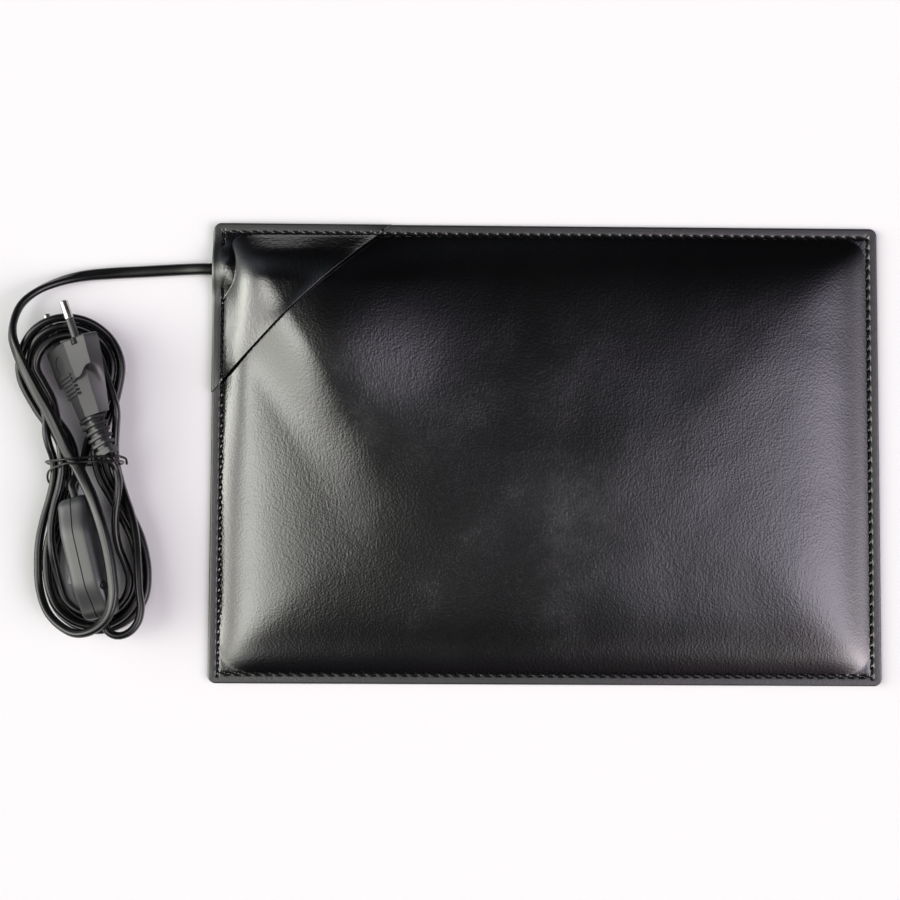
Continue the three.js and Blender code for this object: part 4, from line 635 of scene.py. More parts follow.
upper_shell = switch_body("switch_top_shell")
carve(upper_shell, [block(SWITCH, LONG, WIDE, (GROOVE, DEEP))], "INTERSECT")
carve(upper_shell, switch_hollow() + [block(SWITCH, ROCKER_X, ROCKER_Y, (0, DEEP))], "DIFFERENCE")
lower_shell = switch_body("switch_base_shell")
carve(lower_shell, [block(SWITCH, LONG, WIDE, (-DEEP, -GROOVE))], "INTERSECT")
lip = switch_body("switch_lip", LIP_INSET)
carve(lip, [block(SWITCH, LONG, WIDE, (-1.5, GROOVE - 0.02))], "INTERSECT")
carve(lower_shell, [lip], "UNION")
screw_wells = [rod(SWITCH, place, 2, (-12, -6.5), 2.1) for place in SCREW_PLACES]
carve(lower_shell, switch_hollow() + screw_wells, "DIFFERENCE")
crisp(upper_shell)
crisp(lower_shell)


def plug_corners(back):
    """Half height, and for front block and grip: top edge, side corner and lower edge at one place."""
    taper = min(max((back - 2) / 34, 0), 1)
    rear = min(max((back - 14) / 22, 0), 1)
    height = 6.85 - 1.75 * min(max((back - 12.5) / 23.5, 0), 1) ** 0.9
    low = 17.65 - 9.3 * taper
    front = (9.0, height), (17.65 - 2.6 * min(back / 18, 1), 0.5), (low, -height)
    grip = (4.6 - 1.3 * rear, height), (10.2 - 2.2 * rear, 0.4), (low, -height)
    return height, front, grip


def plug_mix(back, side, reach=0.0):
    """0 on the front block, 1 on the grip: the step between them runs in an S across the chamfer."""
    step_at = 18.0 - 4.2 * float(smooth_step((side - 0.15) / 0.7))
    return float(smooth_step((back - step_at) / (1.1 + 13.0 * reach)))


def plug_ring(back):
    """Outline of the plug at one place: along the underside, up the side, over the chamfer, along the top."""
    height, front, grip = plug_corners(back)

    def between(first, second, share, mix):
        ends = [np.array(front[k]) * (1 - mix) + np.array(grip[k]) * mix for k in (first, second)]
        return tuple(ends[0] + (ends[1] - ends[0]) * share)

    half = [(front[2][0] * k / 12, -height) for k in range(12)]
    half += [between(2, 1, k / 14, plug_mix(back, 1.0, 1 - k / 14)) for k in range(14)]
    half += [between(1, 0, k / 24, plug_mix(back, 1 - k / 24)) for k in range(24)]
    top = between(0, 0, 0, plug_mix(back, 0.0))
    half += [(top[0] * (1 - k / 12), height) for k in range(13)]
    draw = 1 - 0.045 * max(1 - back / 0.9, 0) ** 2
    ring = [(-back, y * draw, z * draw) for y, z in half]
    return ring + [(-back, -y * draw, z * draw) for y, z in reversed(half[1:-1])]


# Stations lie close together where the front block steps down to the grip
PLUG_STATIONS = [*np.linspace(0, 0.9, 5), *np.linspace(1.6, 13, 9), *np.linspace(13.2, 20, 52),
                 *np.linspace(20.6, PLUG_LENGTH, 20)]
RIBS, RIB_PITCH, RIB_WIDE, RIB_RISE = 6, 1.9, 1.05, 0.6

plug_shell = loft(PLUG, "plug_shell", [plug_ring(back) for back in PLUG_STATIONS])
ribs = []
for k in range(RIBS):
    x = -14.5 - RIB_PITCH * k
    face = plug_corners(-x)[0] + RIB_RISE
    ribs.append(block(PLUG, (x - RIB_WIDE, x), (-5.6, 4.7), (-face, face)))
carve(plug_shell, ribs, "UNION")
front_room = block(PLUG, (-3.3, 2), (-14.3, 14.3), (-4.6, 4.6))
recesses = [rod(PLUG, (-8.9, 0.5), 2, (side * 6.4, side * 12), 4.2, 48) for side in (1, -1)]
pin_holes = [rod(PLUG, (side * PIN_SIDE, 0), 0, (-12.3, 2), 2.2) for side in (1, -1)]
carve(plug_shell, [front_room] + recesses + pin_holes, "DIFFERENCE")
crisp(plug_shell, 28)


def on_pin_axis(name, side, profile):
    """A turned piece on a pin's axis, from places along it and radii."""
    rings = [[(x, side * PIN_SIDE + r * c, r * s) for c, s in circle(40)] for x, r in profile]
    piece = loft(PLUG, name, rings)
    outward(piece)
    return crisp(piece, 40)


PIN_LENGTH, PIN_RADIUS, TIP_ROUND = 19, 2.0, 0.9
PIN_FORM = [(-12, 1.3), (10, 1.3), (10, 1.9), (10.1, PIN_RADIUS)]
PIN_FORM += [(PIN_LENGTH - TIP_ROUND * (1 - math.sin(a)), PIN_RADIUS - TIP_ROUND * (1 - math.cos(a)))
             for a in np.linspace(0, math.pi / 2, 8)]
SLEEVE_FORM = [(-3.5, 1.32), (-3.5, 1.9), (9.75, 1.9), (9.85, 1.8), (9.85, 1.32)]
pins = [(name, on_pin_axis(f"pin_{name}", side, PIN_FORM), on_pin_axis(f"sleeve_{name}", side, SLEEVE_FORM))
        for side, name in ((1, "live"), (-1, "neutral"))]


def relief_section(share, half_y, half_z, power):
    """A ring across the boot's bent axis."""
    point, along = relief_place(share)
    across = turned(unit(np.cross(along, UP)), along, PLUG_TILT * (1 - 0.55 * share))
    rise = np.cross(across, along)
    return [point + across * half_y * c + rise * half_z * s for c, s in circle(40, power)]


def relief_piece():
    """Slotted boot: a thin core with plates across it, the last of them without a slot behind it."""
    shares = np.linspace(-0.01, 1, 24)
    core = [relief_section(s, 3.2 + 0.6 * (1 - s), 3.3 + 0.4 * (1 - s), 0.6) for s in shares]
    boot = loft(SHARED, "relief_core", core)
    plates = []
    for k in range(RELIEF_PLATES):
        start = k / RELIEF_PLATES
        end = start + (0.52 if k < RELIEF_PLATES - 1 else 1.0) / RELIEF_PLATES
        half_y, half_z = 6.2 - 1.7 * start, 5.0 - 1.2 * start
        shape = [(start, 0.9), (start + 0.012, 1.0), (end - 0.012, 1.0), (end, 0.9)]
        rings = [relief_section(s, half_y * f, half_z * f, 0.42) for s, f in shape]
        plates.append(loft(SHARED, "plate", rings))
    carve(boot, plates, "UNION")
    return crisp(boot, 40)


relief = relief_piece()

# CAD nodes that stay, by finish
STAYING = [
    (WHITE, ["terminal_box_base", "terminal_box_lid"]),
    (GREY, ["cord_grip", "thermal_cutout", "contact_plunger"]),
    (STEEL, ["splice_live", "splice_neutral", "rocker_pin"] + [f"terminal_screw_{k}" for k in (1, 2, 3, 4)]),
    (BRASS, ["contact_blade", "live_terminal_in", "live_terminal_out", "neutral_link"]),
    (BLACK_STEEL, ["switch_shell_screw_1", "switch_shell_screw_2"]),
    (SHELL, ["switch_rocker"]),
    (PLUG_PLASTIC, ["plug_pin_bridge"]),
]
for material, node_names in STAYING:
    for node_name in node_names:
        for material_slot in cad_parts[node_name].material_slots:
            material_slot.material = material

dress(upper_shell, SHELL, "black_plastic", "switch_upper_shell")
dress(lower_shell, SHELL, "black_plastic", "switch_lower_shell")
dress(plug_shell, PLUG_PLASTIC, "black_plastic", "plug_body")
dress(relief, PLUG_PLASTIC, "black_plastic", "plug_strain_relief")
for name, pin, sleeve in pins:
    dress(pin, NICKEL, "nickel", f"plug_pin_{name}")
    dress(sleeve, PLUG_PLASTIC, "black_plastic", f"pin_sleeve_{name}")

dress(mains_cord, PVC, "cord_sheath", "cord_lead", "cord_hank")
dress(plug_cord, PVC, "cord_sheath", "cord_to_plug")
dress(tie, PVC, "cord_sheath", "wire_tie")


# Mat surface
def soft_inset(x, y):
    """Distance in from the mat's edge, with its level lines drawn round at the corners."""
    soft = 5.5
    a, b = HALF_X - np.abs(x), HALF_Y - np.abs(y)
    return -soft * np.log(np.exp(-a / soft) + np.exp(-b / soft))


def box_point(along, across):
    """A point in plan given along and across the terminal box."""
    return np.array((BOX_CENTRE[0] + ENTRY[0] * along - ENTRY[1] * across,
                     BOX_CENTRE[1] + ENTRY[1] * along + ENTRY[0] * across))


def box_distance(x, y):
    """Distance in plan from the terminal box with a margin round it, less than 0 inside."""
    dx, dy = x - BOX_CENTRE[0], y - BOX_CENTRE[1]
    along = np.abs(dx * ENTRY[0] + dy * ENTRY[1]) - BOX_HALF[0] - BOX_MARGIN
    across = np.abs(dy * ENTRY[0] - dx * ENTRY[1]) - BOX_HALF[1] - BOX_MARGIN
    return np.hypot(np.maximum(along, 0), np.maximum(across, 0)) + np.minimum(np.maximum(along, across), 0)


def segment_distance(x, y, a, b):
    """Distance in plan from the straight line between two places."""
    run = (b[0] - a[0], b[1] - a[1])
    share = np.clip(((x - a[0]) * run[0] + (y - a[1]) * run[1]) / (run[0] ** 2 + run[1] ** 2), 0, 1)
    return np.hypot(x - a[0] - share * run[0], y - a[1] - share * run[1])


def tail_distance(x, y):
    """Distance in plan from the cord under the leather."""
    mouth = (BEND[0] + ENTRY[0] * BOX_MOUTH, BEND[1] + ENTRY[1] * BOX_MOUTH)
    return np.minimum(segment_distance(x, y, (-HALF_X, EXIT_Y), BEND), segment_distance(x, y, BEND, mouth))


def soft_noise(x, y, scale, seed):
    """Smooth noise at each place, its waves about scale millimetres long."""
    places = zip(x.ravel(), y.ravel())
    return np.reshape([noise.noise(Vector((a / scale, b / scale, seed))) for a, b in places], x.shape)


def stitch_ring():
    """Stitches round the mat, in order, as pairs of holes."""
    x0, y0 = HALF_X - STITCH_INSET, HALF_Y - STITCH_INSET
    corners = [(-x0, y0), (x0, y0), (x0, -y0), (-x0, -y0), (-x0, y0)]
    pairs = []
    for a, b in zip(corners, corners[1:]):
        count = int(round(math.dist(a, b) / STITCH_PITCH))
        row = [(a[0] + (b[0] - a[0]) * k / count, a[1] + (b[1] - a[1]) * k / count) for k in range(count + 1)]
        pairs += zip(row, row[1:])
    return pairs


def in_gap(a, b):
    """The stretch of the left edge that is left open for the cord."""
    return a[0] < -HALF_X + 10 and min(a[1], b[1]) < STITCH_GAP[1] and max(a[1], b[1]) > STITCH_GAP[0]


stitches = [pair for pair in stitch_ring() if not in_gap(*pair)]
holes = sorted({(round(p[0], 3), round(p[1], 3)) for pair in stitches for p in pair})


def seam_form(x, y):
    """What the sewing does to the leather: a slight valley under the thread, pits and a round edge."""
    inset = np.minimum(HALF_X - np.abs(x), HALF_Y - np.abs(y))
    sewn = np.where(x < -HALF_X + 14, smooth_step((np.abs(y - EXIT_Y) - 7.5) / 3.0), 1.0)
    valley = -VALLEY_DEPTH * np.exp(-((inset - STITCH_INSET) / VALLEY_HALF) ** 2) * sewn
    turned_in = 1 - np.clip(inset / ROUND_WIDE, 0, 1)
    edge_round = -ROUND_DEEP * (1 - np.sqrt(1 - turned_in**2))
    pits = np.zeros(x.shape)
    band = np.abs(inset - STITCH_INSET) < 2.2
    xs, ys = x[band], y[band]
    deepest = np.zeros(xs.shape)
    for hx, hy in holes:
        near = np.nonzero((np.abs(xs - hx) < 2.4) & (np.abs(ys - hy) < 2.4))[0]
        along, across = xs[near] - hx, ys[near] - hy
        if abs(abs(hx) - HALF_X + STITCH_INSET) < 0.01:
            along, across = across, along
        pit = np.exp(-((along / PIT_LENGTH) ** 4) - (across / PIT_WIDTH) ** 4)
        deepest[near] = np.maximum(deepest[near], pit)
    pits[band] = -PIT_DEPTH * deepest
    return valley + edge_round + pits


def soft_max(a, b, width):
    """The greater of two heights, drawn over the line where they cross as leather is."""
    apart = np.abs(a - b) / width
    return np.maximum(a, b) + width * (np.log1p(np.exp(-apart)) - math.log(2) * np.exp(-apart))


def cushion(s):
    """Height of the stuffed middle over the margin, from the thread inwards."""
    start = s - 0.8 * (1 - np.exp(-s / 0.8))
    return EDGE_SLOPE * EDGE_FADE * (1 - np.exp(-start / EDGE_FADE)) \
        + DOME_SLOPE * DOME_FADE * (1 - np.exp(-start / DOME_FADE))


def cover_top(x, y):
    """Upper surface of the sewn leather: a cushion that starts at the thread, over box and cord."""
    inset = soft_inset(x, y)
    s = np.maximum(inset - STITCH_INSET, 0)
    spine = segment_distance(x, y, box_point(-BOX_SPINE, 0), box_point(BOX_SPINE, 0))
    near_box = np.exp(-((spine / BOX_DRAPE) ** 2)) * (1 - 0.45 * smooth_step((y - 80.0) / 25.0))
    rise = s / BOX_RISE / (1 + (s / BOX_RISE) ** 4) ** 0.25
    lean = BOX_LEAN * smooth_step(((x + HALF_X - 4.0) * 0.86 + (y - HALF_Y + 48.0) * 0.5) / LEAN_REACH)
    over_box = cushion(s) * (1 - near_box) + (BOX_COVER + lean) * near_box * rise
    inward = smooth_step((inset - LEATHER) / SEAM_WIDTH)
    over_tail = (TAIL_RISE + TAIL_MORE * inward) * np.exp(-((tail_distance(x, y) / TAIL_DRAPE) ** 2.4))
    return MARGIN_LEVEL + LEATHER + soft_max(over_box, over_tail, 3.4 * inward + 0.2)


def ripples(x, y):
    """Faint waves of the leather, none of them at its edge."""
    inside = smooth_step((soft_inset(x, y) - 5.0) / 20.0)
    return inside * (soft_noise(x, y, 62.0, 3.1) * 0.42 + soft_noise(x, y, 24.0, 8.7) * 0.1)


def soft_top(x, y):
    """Upper surface of the leather with its ripples."""
    return cover_top(x, y) + ripples(x, y)


def on_outline(x, y):
    """Draws grid points in onto the mat's round corners."""
    cx, cy = HALF_X - PAD_CORNER, HALF_Y - PAD_CORNER
    dx, dy = np.abs(x) - cx, np.abs(y) - cy
    reach = np.hypot(np.maximum(dx, 0), np.maximum(dy, 0))
    share = np.where((dx > 0) & (dy > 0) & (reach > PAD_CORNER), PAD_CORNER / np.maximum(reach, 1e-6), 1.0)
    return np.sign(x) * np.where(share < 1, cx + dx * share, np.abs(x)), \
        np.sign(y) * np.where(share < 1, cy + dy * share, np.abs(y))


def cover_shell(name):
    """Closed leather shell: a fine lattice in the sewn frame, every third point inside it."""
    ii, jj = np.meshgrid(np.arange(LATTICE_X + 1), np.arange(LATTICE_Y + 1))
    framed = (ii <= FRAME) | (ii >= LATTICE_X - FRAME) | (jj <= FRAME) | (jj >= LATTICE_Y - FRAME)
    used = framed | ((ii % COARSE == 0) & (jj % COARSE == 0))
    index = np.full(used.shape, -1)
    index[used] = np.arange(used.sum())
    at = index.tolist()
    x, y = ii[used] * PAD_LENGTH / LATTICE_X - HALF_X, jj[used] * PAD_WIDTH / LATTICE_Y - HALF_Y
    x, y = on_outline(x, y)
    verts = [np.stack([x, y, soft_top(x, y) + seam_form(x, y)], 1)]
    faces = []
    side_columns = [*range(FRAME), *range(LATTICE_X - FRAME, LATTICE_X)]
    for j in range(LATTICE_Y):
        columns = side_columns if FRAME <= j < LATTICE_Y - FRAME else range(LATTICE_X)
        faces += [(at[j][i], at[j][i + 1], at[j + 1][i + 1], at[j + 1][i]) for i in columns]
    for j in range(FRAME, LATTICE_Y - FRAME, COARSE):
        for i in range(FRAME, LATTICE_X - FRAME, COARSE):
            right, top = i + COARSE, j + COARSE
            ring = [at[j][k] for k in (range(i, right) if j == FRAME else (i,))]
            ring += [at[k][right] for k in (range(j, top) if right == LATTICE_X - FRAME else (j,))]
            ring += [at[top][k] for k in (range(right, i, -1) if top == LATTICE_Y - FRAME else (right,))]
            ring += [at[k][i] for k in (range(top, j, -1) if i == FRAME else (top,))]
            faces.append(tuple(ring))
    base = len(x)
    columns, rows = range(0, LATTICE_X + 1, UNDER_X), range(0, LATTICE_Y + 1, UNDER_Y)
    ux, uy = np.meshgrid(np.array(columns) * PAD_LENGTH / LATTICE_X - HALF_X,
                         np.array(rows) * PAD_WIDTH / LATTICE_Y - HALF_Y)
    ux, uy = on_outline(ux, uy)
    verts.append(np.stack([ux, uy, soft_top(ux, uy) - LEATHER], -1).reshape(-1, 3))
    nx, ny = len(columns), len(rows)
    for j in range(ny - 1):
        for i in range(nx - 1):
            a = base + j * nx + i
            faces.append((a, a + nx, a + nx + 1, a + 1))
    for i in range(nx - 1):
        a, k = base + i, i * UNDER_X
        faces.append(tuple([a, a + 1] + at[0][k:k + UNDER_X + 1][::-1]))
        a += (ny - 1) * nx
        faces.append(tuple([a + 1, a] + at[LATTICE_Y][k:k + UNDER_X + 1]))
    for j in range(ny - 1):
        k = j * UNDER_Y
        a = base + j * nx
        faces.append(tuple([a + nx, a] + [at[n][0] for n in range(k, k + UNDER_Y + 1)]))
        a += nx - 1
        faces.append(tuple([a, a + nx] + [at[n][LATTICE_X] for n in range(k + UNDER_Y, k - 1, -1)]))
    return mesh_object(name, np.concatenate(verts), faces)


def grid_shell(name, gx, gy, top, bottom):
    """Closed shell over a grid, from a top height field down to a bottom one."""
    ny, nx = gx.shape
    verts = np.concatenate([np.stack([gx, gy, top], -1).reshape(-1, 3),
                            np.stack([gx, gy, bottom], -1).reshape(-1, 3)])
    base = nx * ny
    faces = []
    for j in range(ny - 1):
        for i in range(nx - 1):
            a = j * nx + i
            faces.append((a, a + 1, a + nx + 1, a + nx))
            faces.append((base + a, base + a + nx, base + a + nx + 1, base + a + 1))
    rim = list(range(nx)) + [j * nx + nx - 1 for j in range(1, ny)]
    rim += [(ny - 1) * nx + i for i in range(nx - 2, -1, -1)] + [j * nx for j in range(ny - 2, 0, -1)]
    for a, b in zip(rim, rim[1:] + rim[:1]):
        faces.append((a, base + a, base + b, b))
    return mesh_object(name, verts, faces)


cover = cover_shell("top_leather")
dress(cover, LEATHERETTE, "leather", "top_cover")


def sole_lines(half):
    """Grid lines that follow the groove of the sewing, and stay wide apart elsewhere."""
    edge = [0, 1, 2.5, 3.3, 3.7, 4.0, 4.3, 4.6, 4.9, 5.2, 5.5, 5.9, 6.7, 8.0]
    middle = list(np.linspace(8.0, 2 * half - 8.0, int((2 * half - 16) / 4) + 1))[1:-1]
    return np.array(edge + middle + [2 * half - e for e in reversed(edge)]) - half


sole_x, sole_y = np.meshgrid(sole_lines(HALF_X), sole_lines(HALF_Y))
sole_inset = np.minimum(HALF_X - np.abs(sole_x), HALF_Y - np.abs(sole_y))
sole_x, sole_y = on_outline(sole_x, sole_y)
groove = 0.62 * np.exp(-((sole_inset - STITCH_INSET) / 0.62) ** 4)
sole = grid_shell("sole_leather", sole_x, sole_y, np.full(sole_x.shape, LEATHER), groove)
dress(sole, LEATHERETTE, "leather", "bottom_cover")


# Corner flap
def flap_edge(share):
    """The flap's cut edge, from its lower end on the left to its upper end on the top edge."""
    start = np.array((-HALF_X, HALF_Y - FLAP_SIDE))
    end = np.array((-HALF_X + FLAP_TOP, HALF_Y))
    away = np.array((FLAP_SIDE, -FLAP_TOP)) / math.hypot(FLAP_SIDE, FLAP_TOP) * FLAP_BOW
    one, two = start + (end - start) * 0.3 - away, start + (end - start) * 0.7 - away
    rest = 1 - share
    return rest**3 * start + 3 * rest**2 * share * one + 3 * rest * share**2 * two + share**3 * end


flap_share = np.linspace(0, 1, FLAP_ROWS)[:, None]
flap_across = np.linspace(0, 1, FLAP_COLUMNS)
flap_edges = np.array([flap_edge(share) for share in flap_share[:, 0]])
flap_left = -HALF_X - 0.25
flap_width = flap_edges[:, :1] - flap_left
flap_back = flap_width * (1 - flap_across) * 0.7
flap_rows = np.repeat(flap_edges[:, 1:], FLAP_COLUMNS, 1)
flap_x, flap_y = on_outline(flap_left + flap_width * flap_across, flap_rows)
curl = FLAP_CURL * np.sin(math.pi * flap_share) ** 0.6 * np.exp(-flap_back / 5.0)
flap_floor = soft_top(flap_x, flap_y) + FLAP_GAP + curl
flap_top = flap_floor + LEATHER + seam_form(flap_x, flap_y)
flap = grid_shell("flap_leather", flap_x, flap_y, flap_top, flap_floor)
dress(flap, LEATHERETTE, "leather", "corner_flap")


# Stitching
def surface_top(x, y):
    """Leather surface under a point, flap included."""
    z = float(cover_top(np.array([x]), np.array([y]))[0])
    start, end = flap_edge(0), flap_edge(1)
    over = (end[0] - start[0]) * (y - start[1]) - (end[1] - start[1]) * (x - start[0]) > 0
    return z + (LEATHER + FLAP_GAP if over else 0.0)


# Along a stitch: share of its length, height over the leather, thickness and place across
HALF_STITCH = [(0.04, -0.75, 0.7, -1), (0.12, -0.45, 0.9, -0.9), (0.22, -0.12, 1, -0.7),
               (0.34, 0.1, 1.05, -0.4)]
STITCH_FORM = HALF_STITCH + [(0.5, 0.17, 1.05, 0)]
STITCH_FORM += [(1 - share, height, size, -aside) for share, height, size, aside in reversed(HALF_STITCH)]


def thread_pieces(pairs, level, turn=1.0, lift=0.0):
    """Stitches between pairs of holes, bowed up, or down and flatter at a turn under 0."""
    verts, faces = [], []
    count = 10
    for a, b in pairs:
        start = np.array((*a, level(*a)))
        run = np.array((*b, level(*b))) - start
        side = np.cross(unit(run), UP)
        base = len(verts)
        for share, height, size, aside in STITCH_FORM:
            centre = start + run * share + side * aside * STITCH_SLANT + UP * (height * turn + lift)
            verts += [centre + (side * c + UP * s) * THREAD / 2 * size for c, s in circle(count)]
        faces += [tuple(base + i for i in f) for f in ring_faces(len(STITCH_FORM), count)]
    return verts, faces


def knot(place, size=0.85, tight=0.62):
    """A small overhand knot, drawn tight."""
    turns = np.linspace(0, 2 * math.pi, 40)[:-1]
    path = np.stack([np.sin(turns) + 2 * np.sin(2 * turns), np.cos(turns) - 2 * np.cos(2 * turns),
                     -1.1 * np.sin(3 * turns)], 1) * size / 3 * tight + np.array(place)
    path = np.vstack([path, path[:1]])
    side, rise = frames_along(path, 0.3)
    rows = [path + side * a * tight + rise * b * tight for a, b in round_section(THREAD, 8)]
    return np.stack(rows, axis=1).reshape(-1, 3), ring_faces(len(path), 8)


def joined(parts):
    """Points and faces of several bodies as one list each."""
    verts, faces = [], []
    for part_verts, part_faces in parts:
        base = len(verts)
        verts += list(part_verts)
        faces += [tuple(base + i for i in f) for f in part_faces]
    return verts, faces


STITCH_X = -HALF_X + STITCH_INSET
left_holes = [p[1] for pair in stitches for p in pair if p[0] == STITCH_X]
knot_ends = min(y for y in left_holes if y > EXIT_Y), max(y for y in left_holes if y < EXIT_Y)
knots = [knot((STITCH_X, y, surface_top(STITCH_X, y) - 0.1)) for y in knot_ends]
knots.append(knot((-HALF_X + FLAP_TOP - 4.2, HALF_Y - STITCH_INSET + 1.6, MARGIN_LEVEL + 2 * LEATHER + 0.5)))
stitching = mesh_object("edge_stitching", *joined([thread_pieces(stitches, surface_top)] + knots))
dress(stitching, THREAD_BLACK, "leather")
under_threads = thread_pieces(stitches, lambda x, y: 0.0, turn=-0.25, lift=0.44)
under_stitching = mesh_object("underside_stitching", *under_threads)
dress(under_stitching, THREAD_BLACK, "leather")


# Inside the mat
def packed(x, y, z):
    """Height of a point of the inner layers once the sewn cover has pressed them together."""
    room = soft_top(x, y) - LEATHER - 0.1 - LAYERS_FROM
    return LAYERS_FROM + (z - LAYERS_FROM) * np.clip(room / (LAYERS_TO - LAYERS_FROM), 0.3, 1)


def soft_layer(node_name, name, shape, step=6.0):
    """A layer with its cut as in the CAD, divided into a grid and pressed into a soft shape."""
    work = bmesh.new()
    work.from_mesh(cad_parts[node_name].data)
    bmesh.ops.remove_doubles(work, verts=work.verts, dist=1e-6)
    bmesh.ops.dissolve_limit(work, angle_limit=0.01, verts=work.verts, edges=work.edges)
    for axis, half in ((0, HALF_X), (1, HALF_Y)):
        for place in np.arange(4 - half, half, step):
            point, normal = [0.0, 0.0, 0.0], [0.0, 0.0, 0.0]
            point[axis], normal[axis] = place * MM, 1.0
            bmesh.ops.bisect_plane(work, geom=work.verts[:] + work.edges[:] + work.faces[:],
                                   plane_co=point, plane_no=normal)
    places = np.array([v.co[:] for v in work.verts]) / MM
    middle = (places[:, 2].min() + places[:, 2].max()) / 2
    heights = shape(places[:, 0], places[:, 1], places[:, 2] > middle)
    for vert, height in zip(work.verts, heights):
        vert.co.z = height * MM
    mesh = bpy.data.meshes.new(name)
    work.to_mesh(mesh)
    work.free()
    piece = bpy.data.objects.new(name, mesh)
    bpy.context.scene.collection.objects.link(piece)
    return crisp(piece, 50)


def felt_shape(x, y, above):
    waves = soft_noise(x, y, 17.0, 2.2) * 0.07
    return np.where(above, packed(x, y, FELT_TOP) + waves, LAYERS_FROM)


def carrier_shape(x, y, above):
    return packed(x, y, np.where(above, CARRIER_TOP, CARRIER_FROM)) + soft_noise(x, y, 13.0, 5.2) * 0.06


def foam_shape(x, y, above):
    low = packed(x, y, FOAM_FROM)
    high = soft_top(x, y) - LEATHER - 0.15
    return np.where(above, np.maximum(high, low + 0.35), low)


felt = soft_layer("insulation_felt", "felt_layer", felt_shape)
carrier = soft_layer("heater_carrier", "carrier_layer", carrier_shape)
foam = soft_layer("padding_sheet", "foam_layer", foam_shape)
dress(felt, FELT, "felt", "insulation_felt")
dress(carrier, CLOTH, "carrier_cloth", "heater_carrier")
dress(foam, FOAM, "foam", "padding_sheet")


class Walk:
    """A route walked in plan, with straight runs and arcs."""

    def __init__(self, start, heading):
        self.points, self.heading = [np.array(start, float)], heading

    def ahead(self, distance):
        way = np.array((math.cos(self.heading), math.sin(self.heading)))
        self.points.append(self.points[-1] + way * distance)
        return self

    def turn(self, angle, radius):
        pieces = max(int(abs(angle) / 0.12), 4)
        step = angle / pieces
        for _ in range(pieces):
            self.heading += step / 2
            self.ahead(2 * radius * math.sin(abs(step) / 2))
            self.heading += step / 2
        return self


def heating_route():
    """Out of the box, ten rows across the mat and back up the left margin."""
    lean, tight, wide = ENTRY_ANGLE, 3, 12
    rows, first_row, pitch, margin = 10, 90.0, 20, 146.0
    walk = Walk(box_point(8.7, 3.6), -lean).ahead(0.3).turn(math.pi / 2, tight)
    rise = first_row - wide * (1 - math.cos(math.pi / 2 - lean)) - walk.points[-1][1]
    walk.ahead(rise / math.cos(lean)).turn(lean - math.pi / 2, wide)
    for row in range(rows):
        rightward, last = row % 2 == 0, row == rows - 1
        left_end = 80.0 if first_row - pitch * (row + 0.5) > BOX_CENTRE[1] - pitch else 126.0
        end = 134.0 if rightward else -(margin - pitch / 2 if last else left_end)
        walk.ahead(abs(end - walk.points[-1][0]))
        walk.turn(-math.pi / 2 if last else (-math.pi if rightward else math.pi), pitch / 2)
    entry = box_point(3.0, -9.0)
    slant = (entry[0] + margin - wide * (1 - math.cos(lean))) / math.sin(lean)
    up = entry[1] - slant * math.cos(lean) - wide * math.sin(lean) - walk.points[-1][1]
    walk.ahead(up).turn(-lean, wide).ahead(slant + 2.4).turn(math.pi / 2, tight).ahead(0.3)
    return walk.points


def levelled(plan, step):
    """A route walked in plan, at an even step and at height 0."""
    return even(np.column_stack([plan, np.zeros(len(plan))]), step)


heating_path = levelled(heating_route(), 1.2)
in_box = box_distance(heating_path[:, 0], heating_path[:, 1]) < 4
pressed = packed(heating_path[:, 0], heating_path[:, 1], STRAND_LEVEL)
heating_path[:, 2] = np.where(in_box, STRAND_LEVEL, pressed)
heating = tube("heating_strand", heating_path, round_section(STRAND, 8))
dress(heating, SILICONE, "heating_wire", "heating_wire")

tail_walk = Walk((-HALF_X, EXIT_Y), 0).ahead(2.49).turn(-ENTRY_ANGLE, 16).ahead(10.49).ahead(8.6)
tail_path = levelled(tail_walk.points, 1.0)
tail_way = np.linspace(0, TAIL_LENGTH, len(tail_path))
tail_path[:, 2] = TAIL_LEVEL + TAIL_CLIMB * smooth_step((tail_way - 2.5) / 21.0)
tail = tube("cord_in_mat", tail_path, FLAT_CORD, math.pi / 2)
dress(tail, PVC, "cord_sheath", "cord_tail")
for name, colour, material, sign, last in (
        ("live", "brown", BROWN, 1, -5.6), ("neutral", "blue", BLUE, -1, -5.3)):
    share = np.linspace(0, 1, 16)
    fanned = sign * (1.25 + 2.35 * smooth_step((share - 0.15) / 0.7))
    plan = [box_point(-11.1 + (last + 11.1) * a, b) for a, b in zip(share, fanned)]
    core_path = np.column_stack([plan, np.full(len(plan), CORE_LEVEL)])
    core = tube(f"core_{name}_sheath", core_path, round_section(CORE, 14))
    dress(core, material, f"core_{colour}", f"core_{name}")

# Stage
floor = mesh_object("floor", [(-3000, -3000, 0), (3000, -3000, 0), (3000, 3000, 0), (-3000, 3000, 0)],
                    [(0, 1, 2, 3)], smooth=False)
floor.location.z = -0.0003
paper = Nodes("floor_paper", Roughness=0.9, Base_Color=(0.86, 0.865, 0.875, 1), Specular_IOR_Level=0.1)
floor.data.materials.append(paper.material)


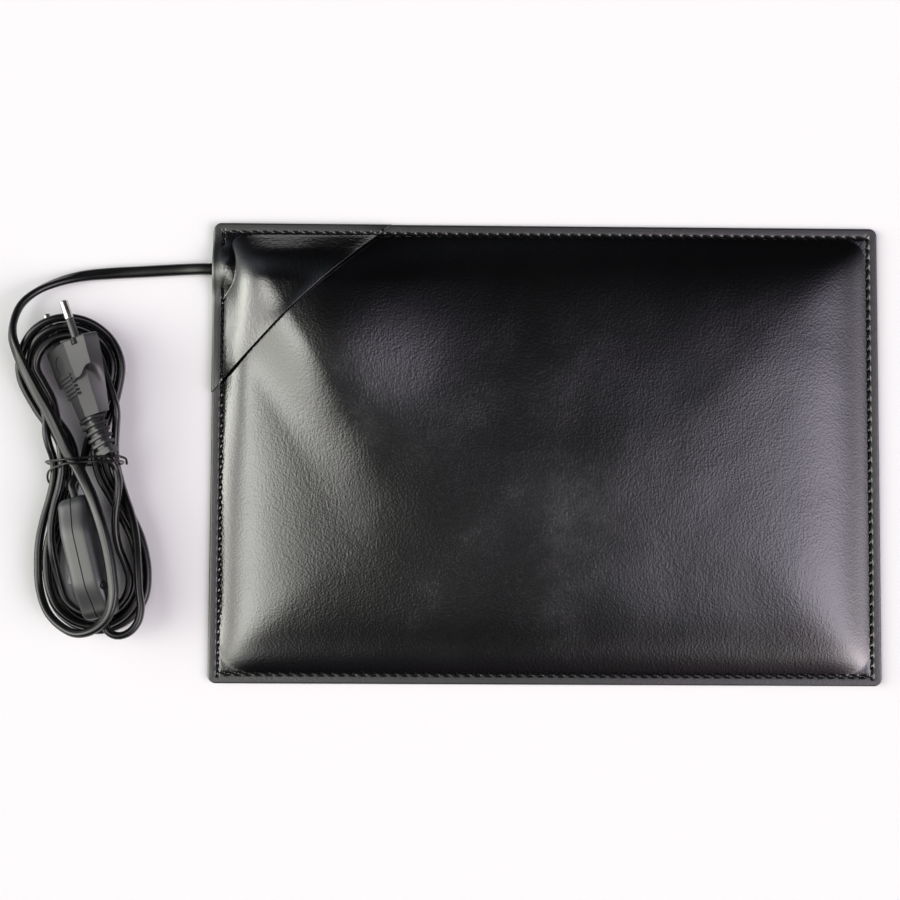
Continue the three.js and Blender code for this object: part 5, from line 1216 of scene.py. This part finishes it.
def studio(lobes):
    """Soft bright areas round the object: tilt from straight up, turn from +X, spread, strength, colour."""
    world = bpy.data.worlds.new("studio")
    world.use_nodes = True
    tree = world.node_tree

    def step(kind, operation, inputs):
        return add_node(tree, kind, inputs, operation=operation).outputs

    direction = add_node(tree, "ShaderNodeTexCoord").outputs["Generated"]
    total = (0.0, 0.0, 0.0)
    for tilt, turn, spread, strength, colour in lobes:
        tilt, turn = math.radians(tilt), math.radians(turn)
        axis = (math.sin(tilt) * math.cos(turn), math.sin(tilt) * math.sin(turn), math.cos(tilt))
        near = step("ShaderNodeVectorMath", "DOT_PRODUCT", {0: direction, 1: axis})["Value"]
        fall = step("ShaderNodeMath", "MULTIPLY_ADD", {0: near, 1: spread**-2, 2: -(spread**-2)})[0]
        glow = step("ShaderNodeMath", "EXPONENT", {0: fall})[0]
        light = step("ShaderNodeVectorMath", "SCALE", {0: [c * strength for c in colour], "Scale": glow})[0]
        total = step("ShaderNodeVectorMath", "ADD", {0: total, 1: light})[0]
    background = tree.nodes["Background"]
    tree.links.new(total, background.inputs["Color"])
    background.inputs["Strength"].default_value = 1.0
    bpy.context.scene.world = world


STUDIO = [
    (71, 180, 0.24, 6.7, (0.98, 1.0, 0.92)),
    (25, 180, 0.14, 4.78, (1.0, 1.0, 0.96)),
    (54, 330, 0.2, 4.64, (1.0, 0.9, 0.93)),
    (38, 210, 0.17, 2.85, (1.0, 1.0, 0.91)),
    (38, 330, 0.17, 1.9, (1.0, 0.91, 0.97)),
    (25, 0, 0.14, 1.69, (0.87, 0.78, 1.0)),
    (54, 180, 0.2, 1.43, (1.0, 0.91, 0.89)),
    (54, 0, 0.2, 0.96, (0.88, 0.81, 1.0)),
    (71, 150, 0.24, 0.44, (0.78, 0.87, 1.0)),
    (54, 300, 0.2, 0.26, (1.0, 0.78, 0.92)),
    (13, 180, 0.12, 0.23, (1.0, 0.98, 0.78)),
    (54, 120, 0.2, 0.29, (0.78, 0.85, 1.0)),
    (38, 240, 0.17, 0.1, (0.78, 0.79, 1.0)),
    (71, 0, 0.24, 0.12, (0.78, 0.78, 1.0)),
    (17, 355, 0.085, 1.05, (0.97, 0.93, 1.0)),
    (30, 352, 0.14, 1.24, (0.98, 0.93, 1.0)),
    (34, 308, 0.11, 0.74, (1.0, 0.96, 1.0)),
    (62, 350, 0.2, 1.36, (1.0, 0.93, 0.96)),
    (31, 240, 0.1, 0.62, (1.0, 1.0, 0.97)),
    (12, 186, 0.08, 0.93, (1.0, 1.0, 0.98)),
]
studio(STUDIO)

bpy.context.scene.view_settings.view_transform = "Standard"
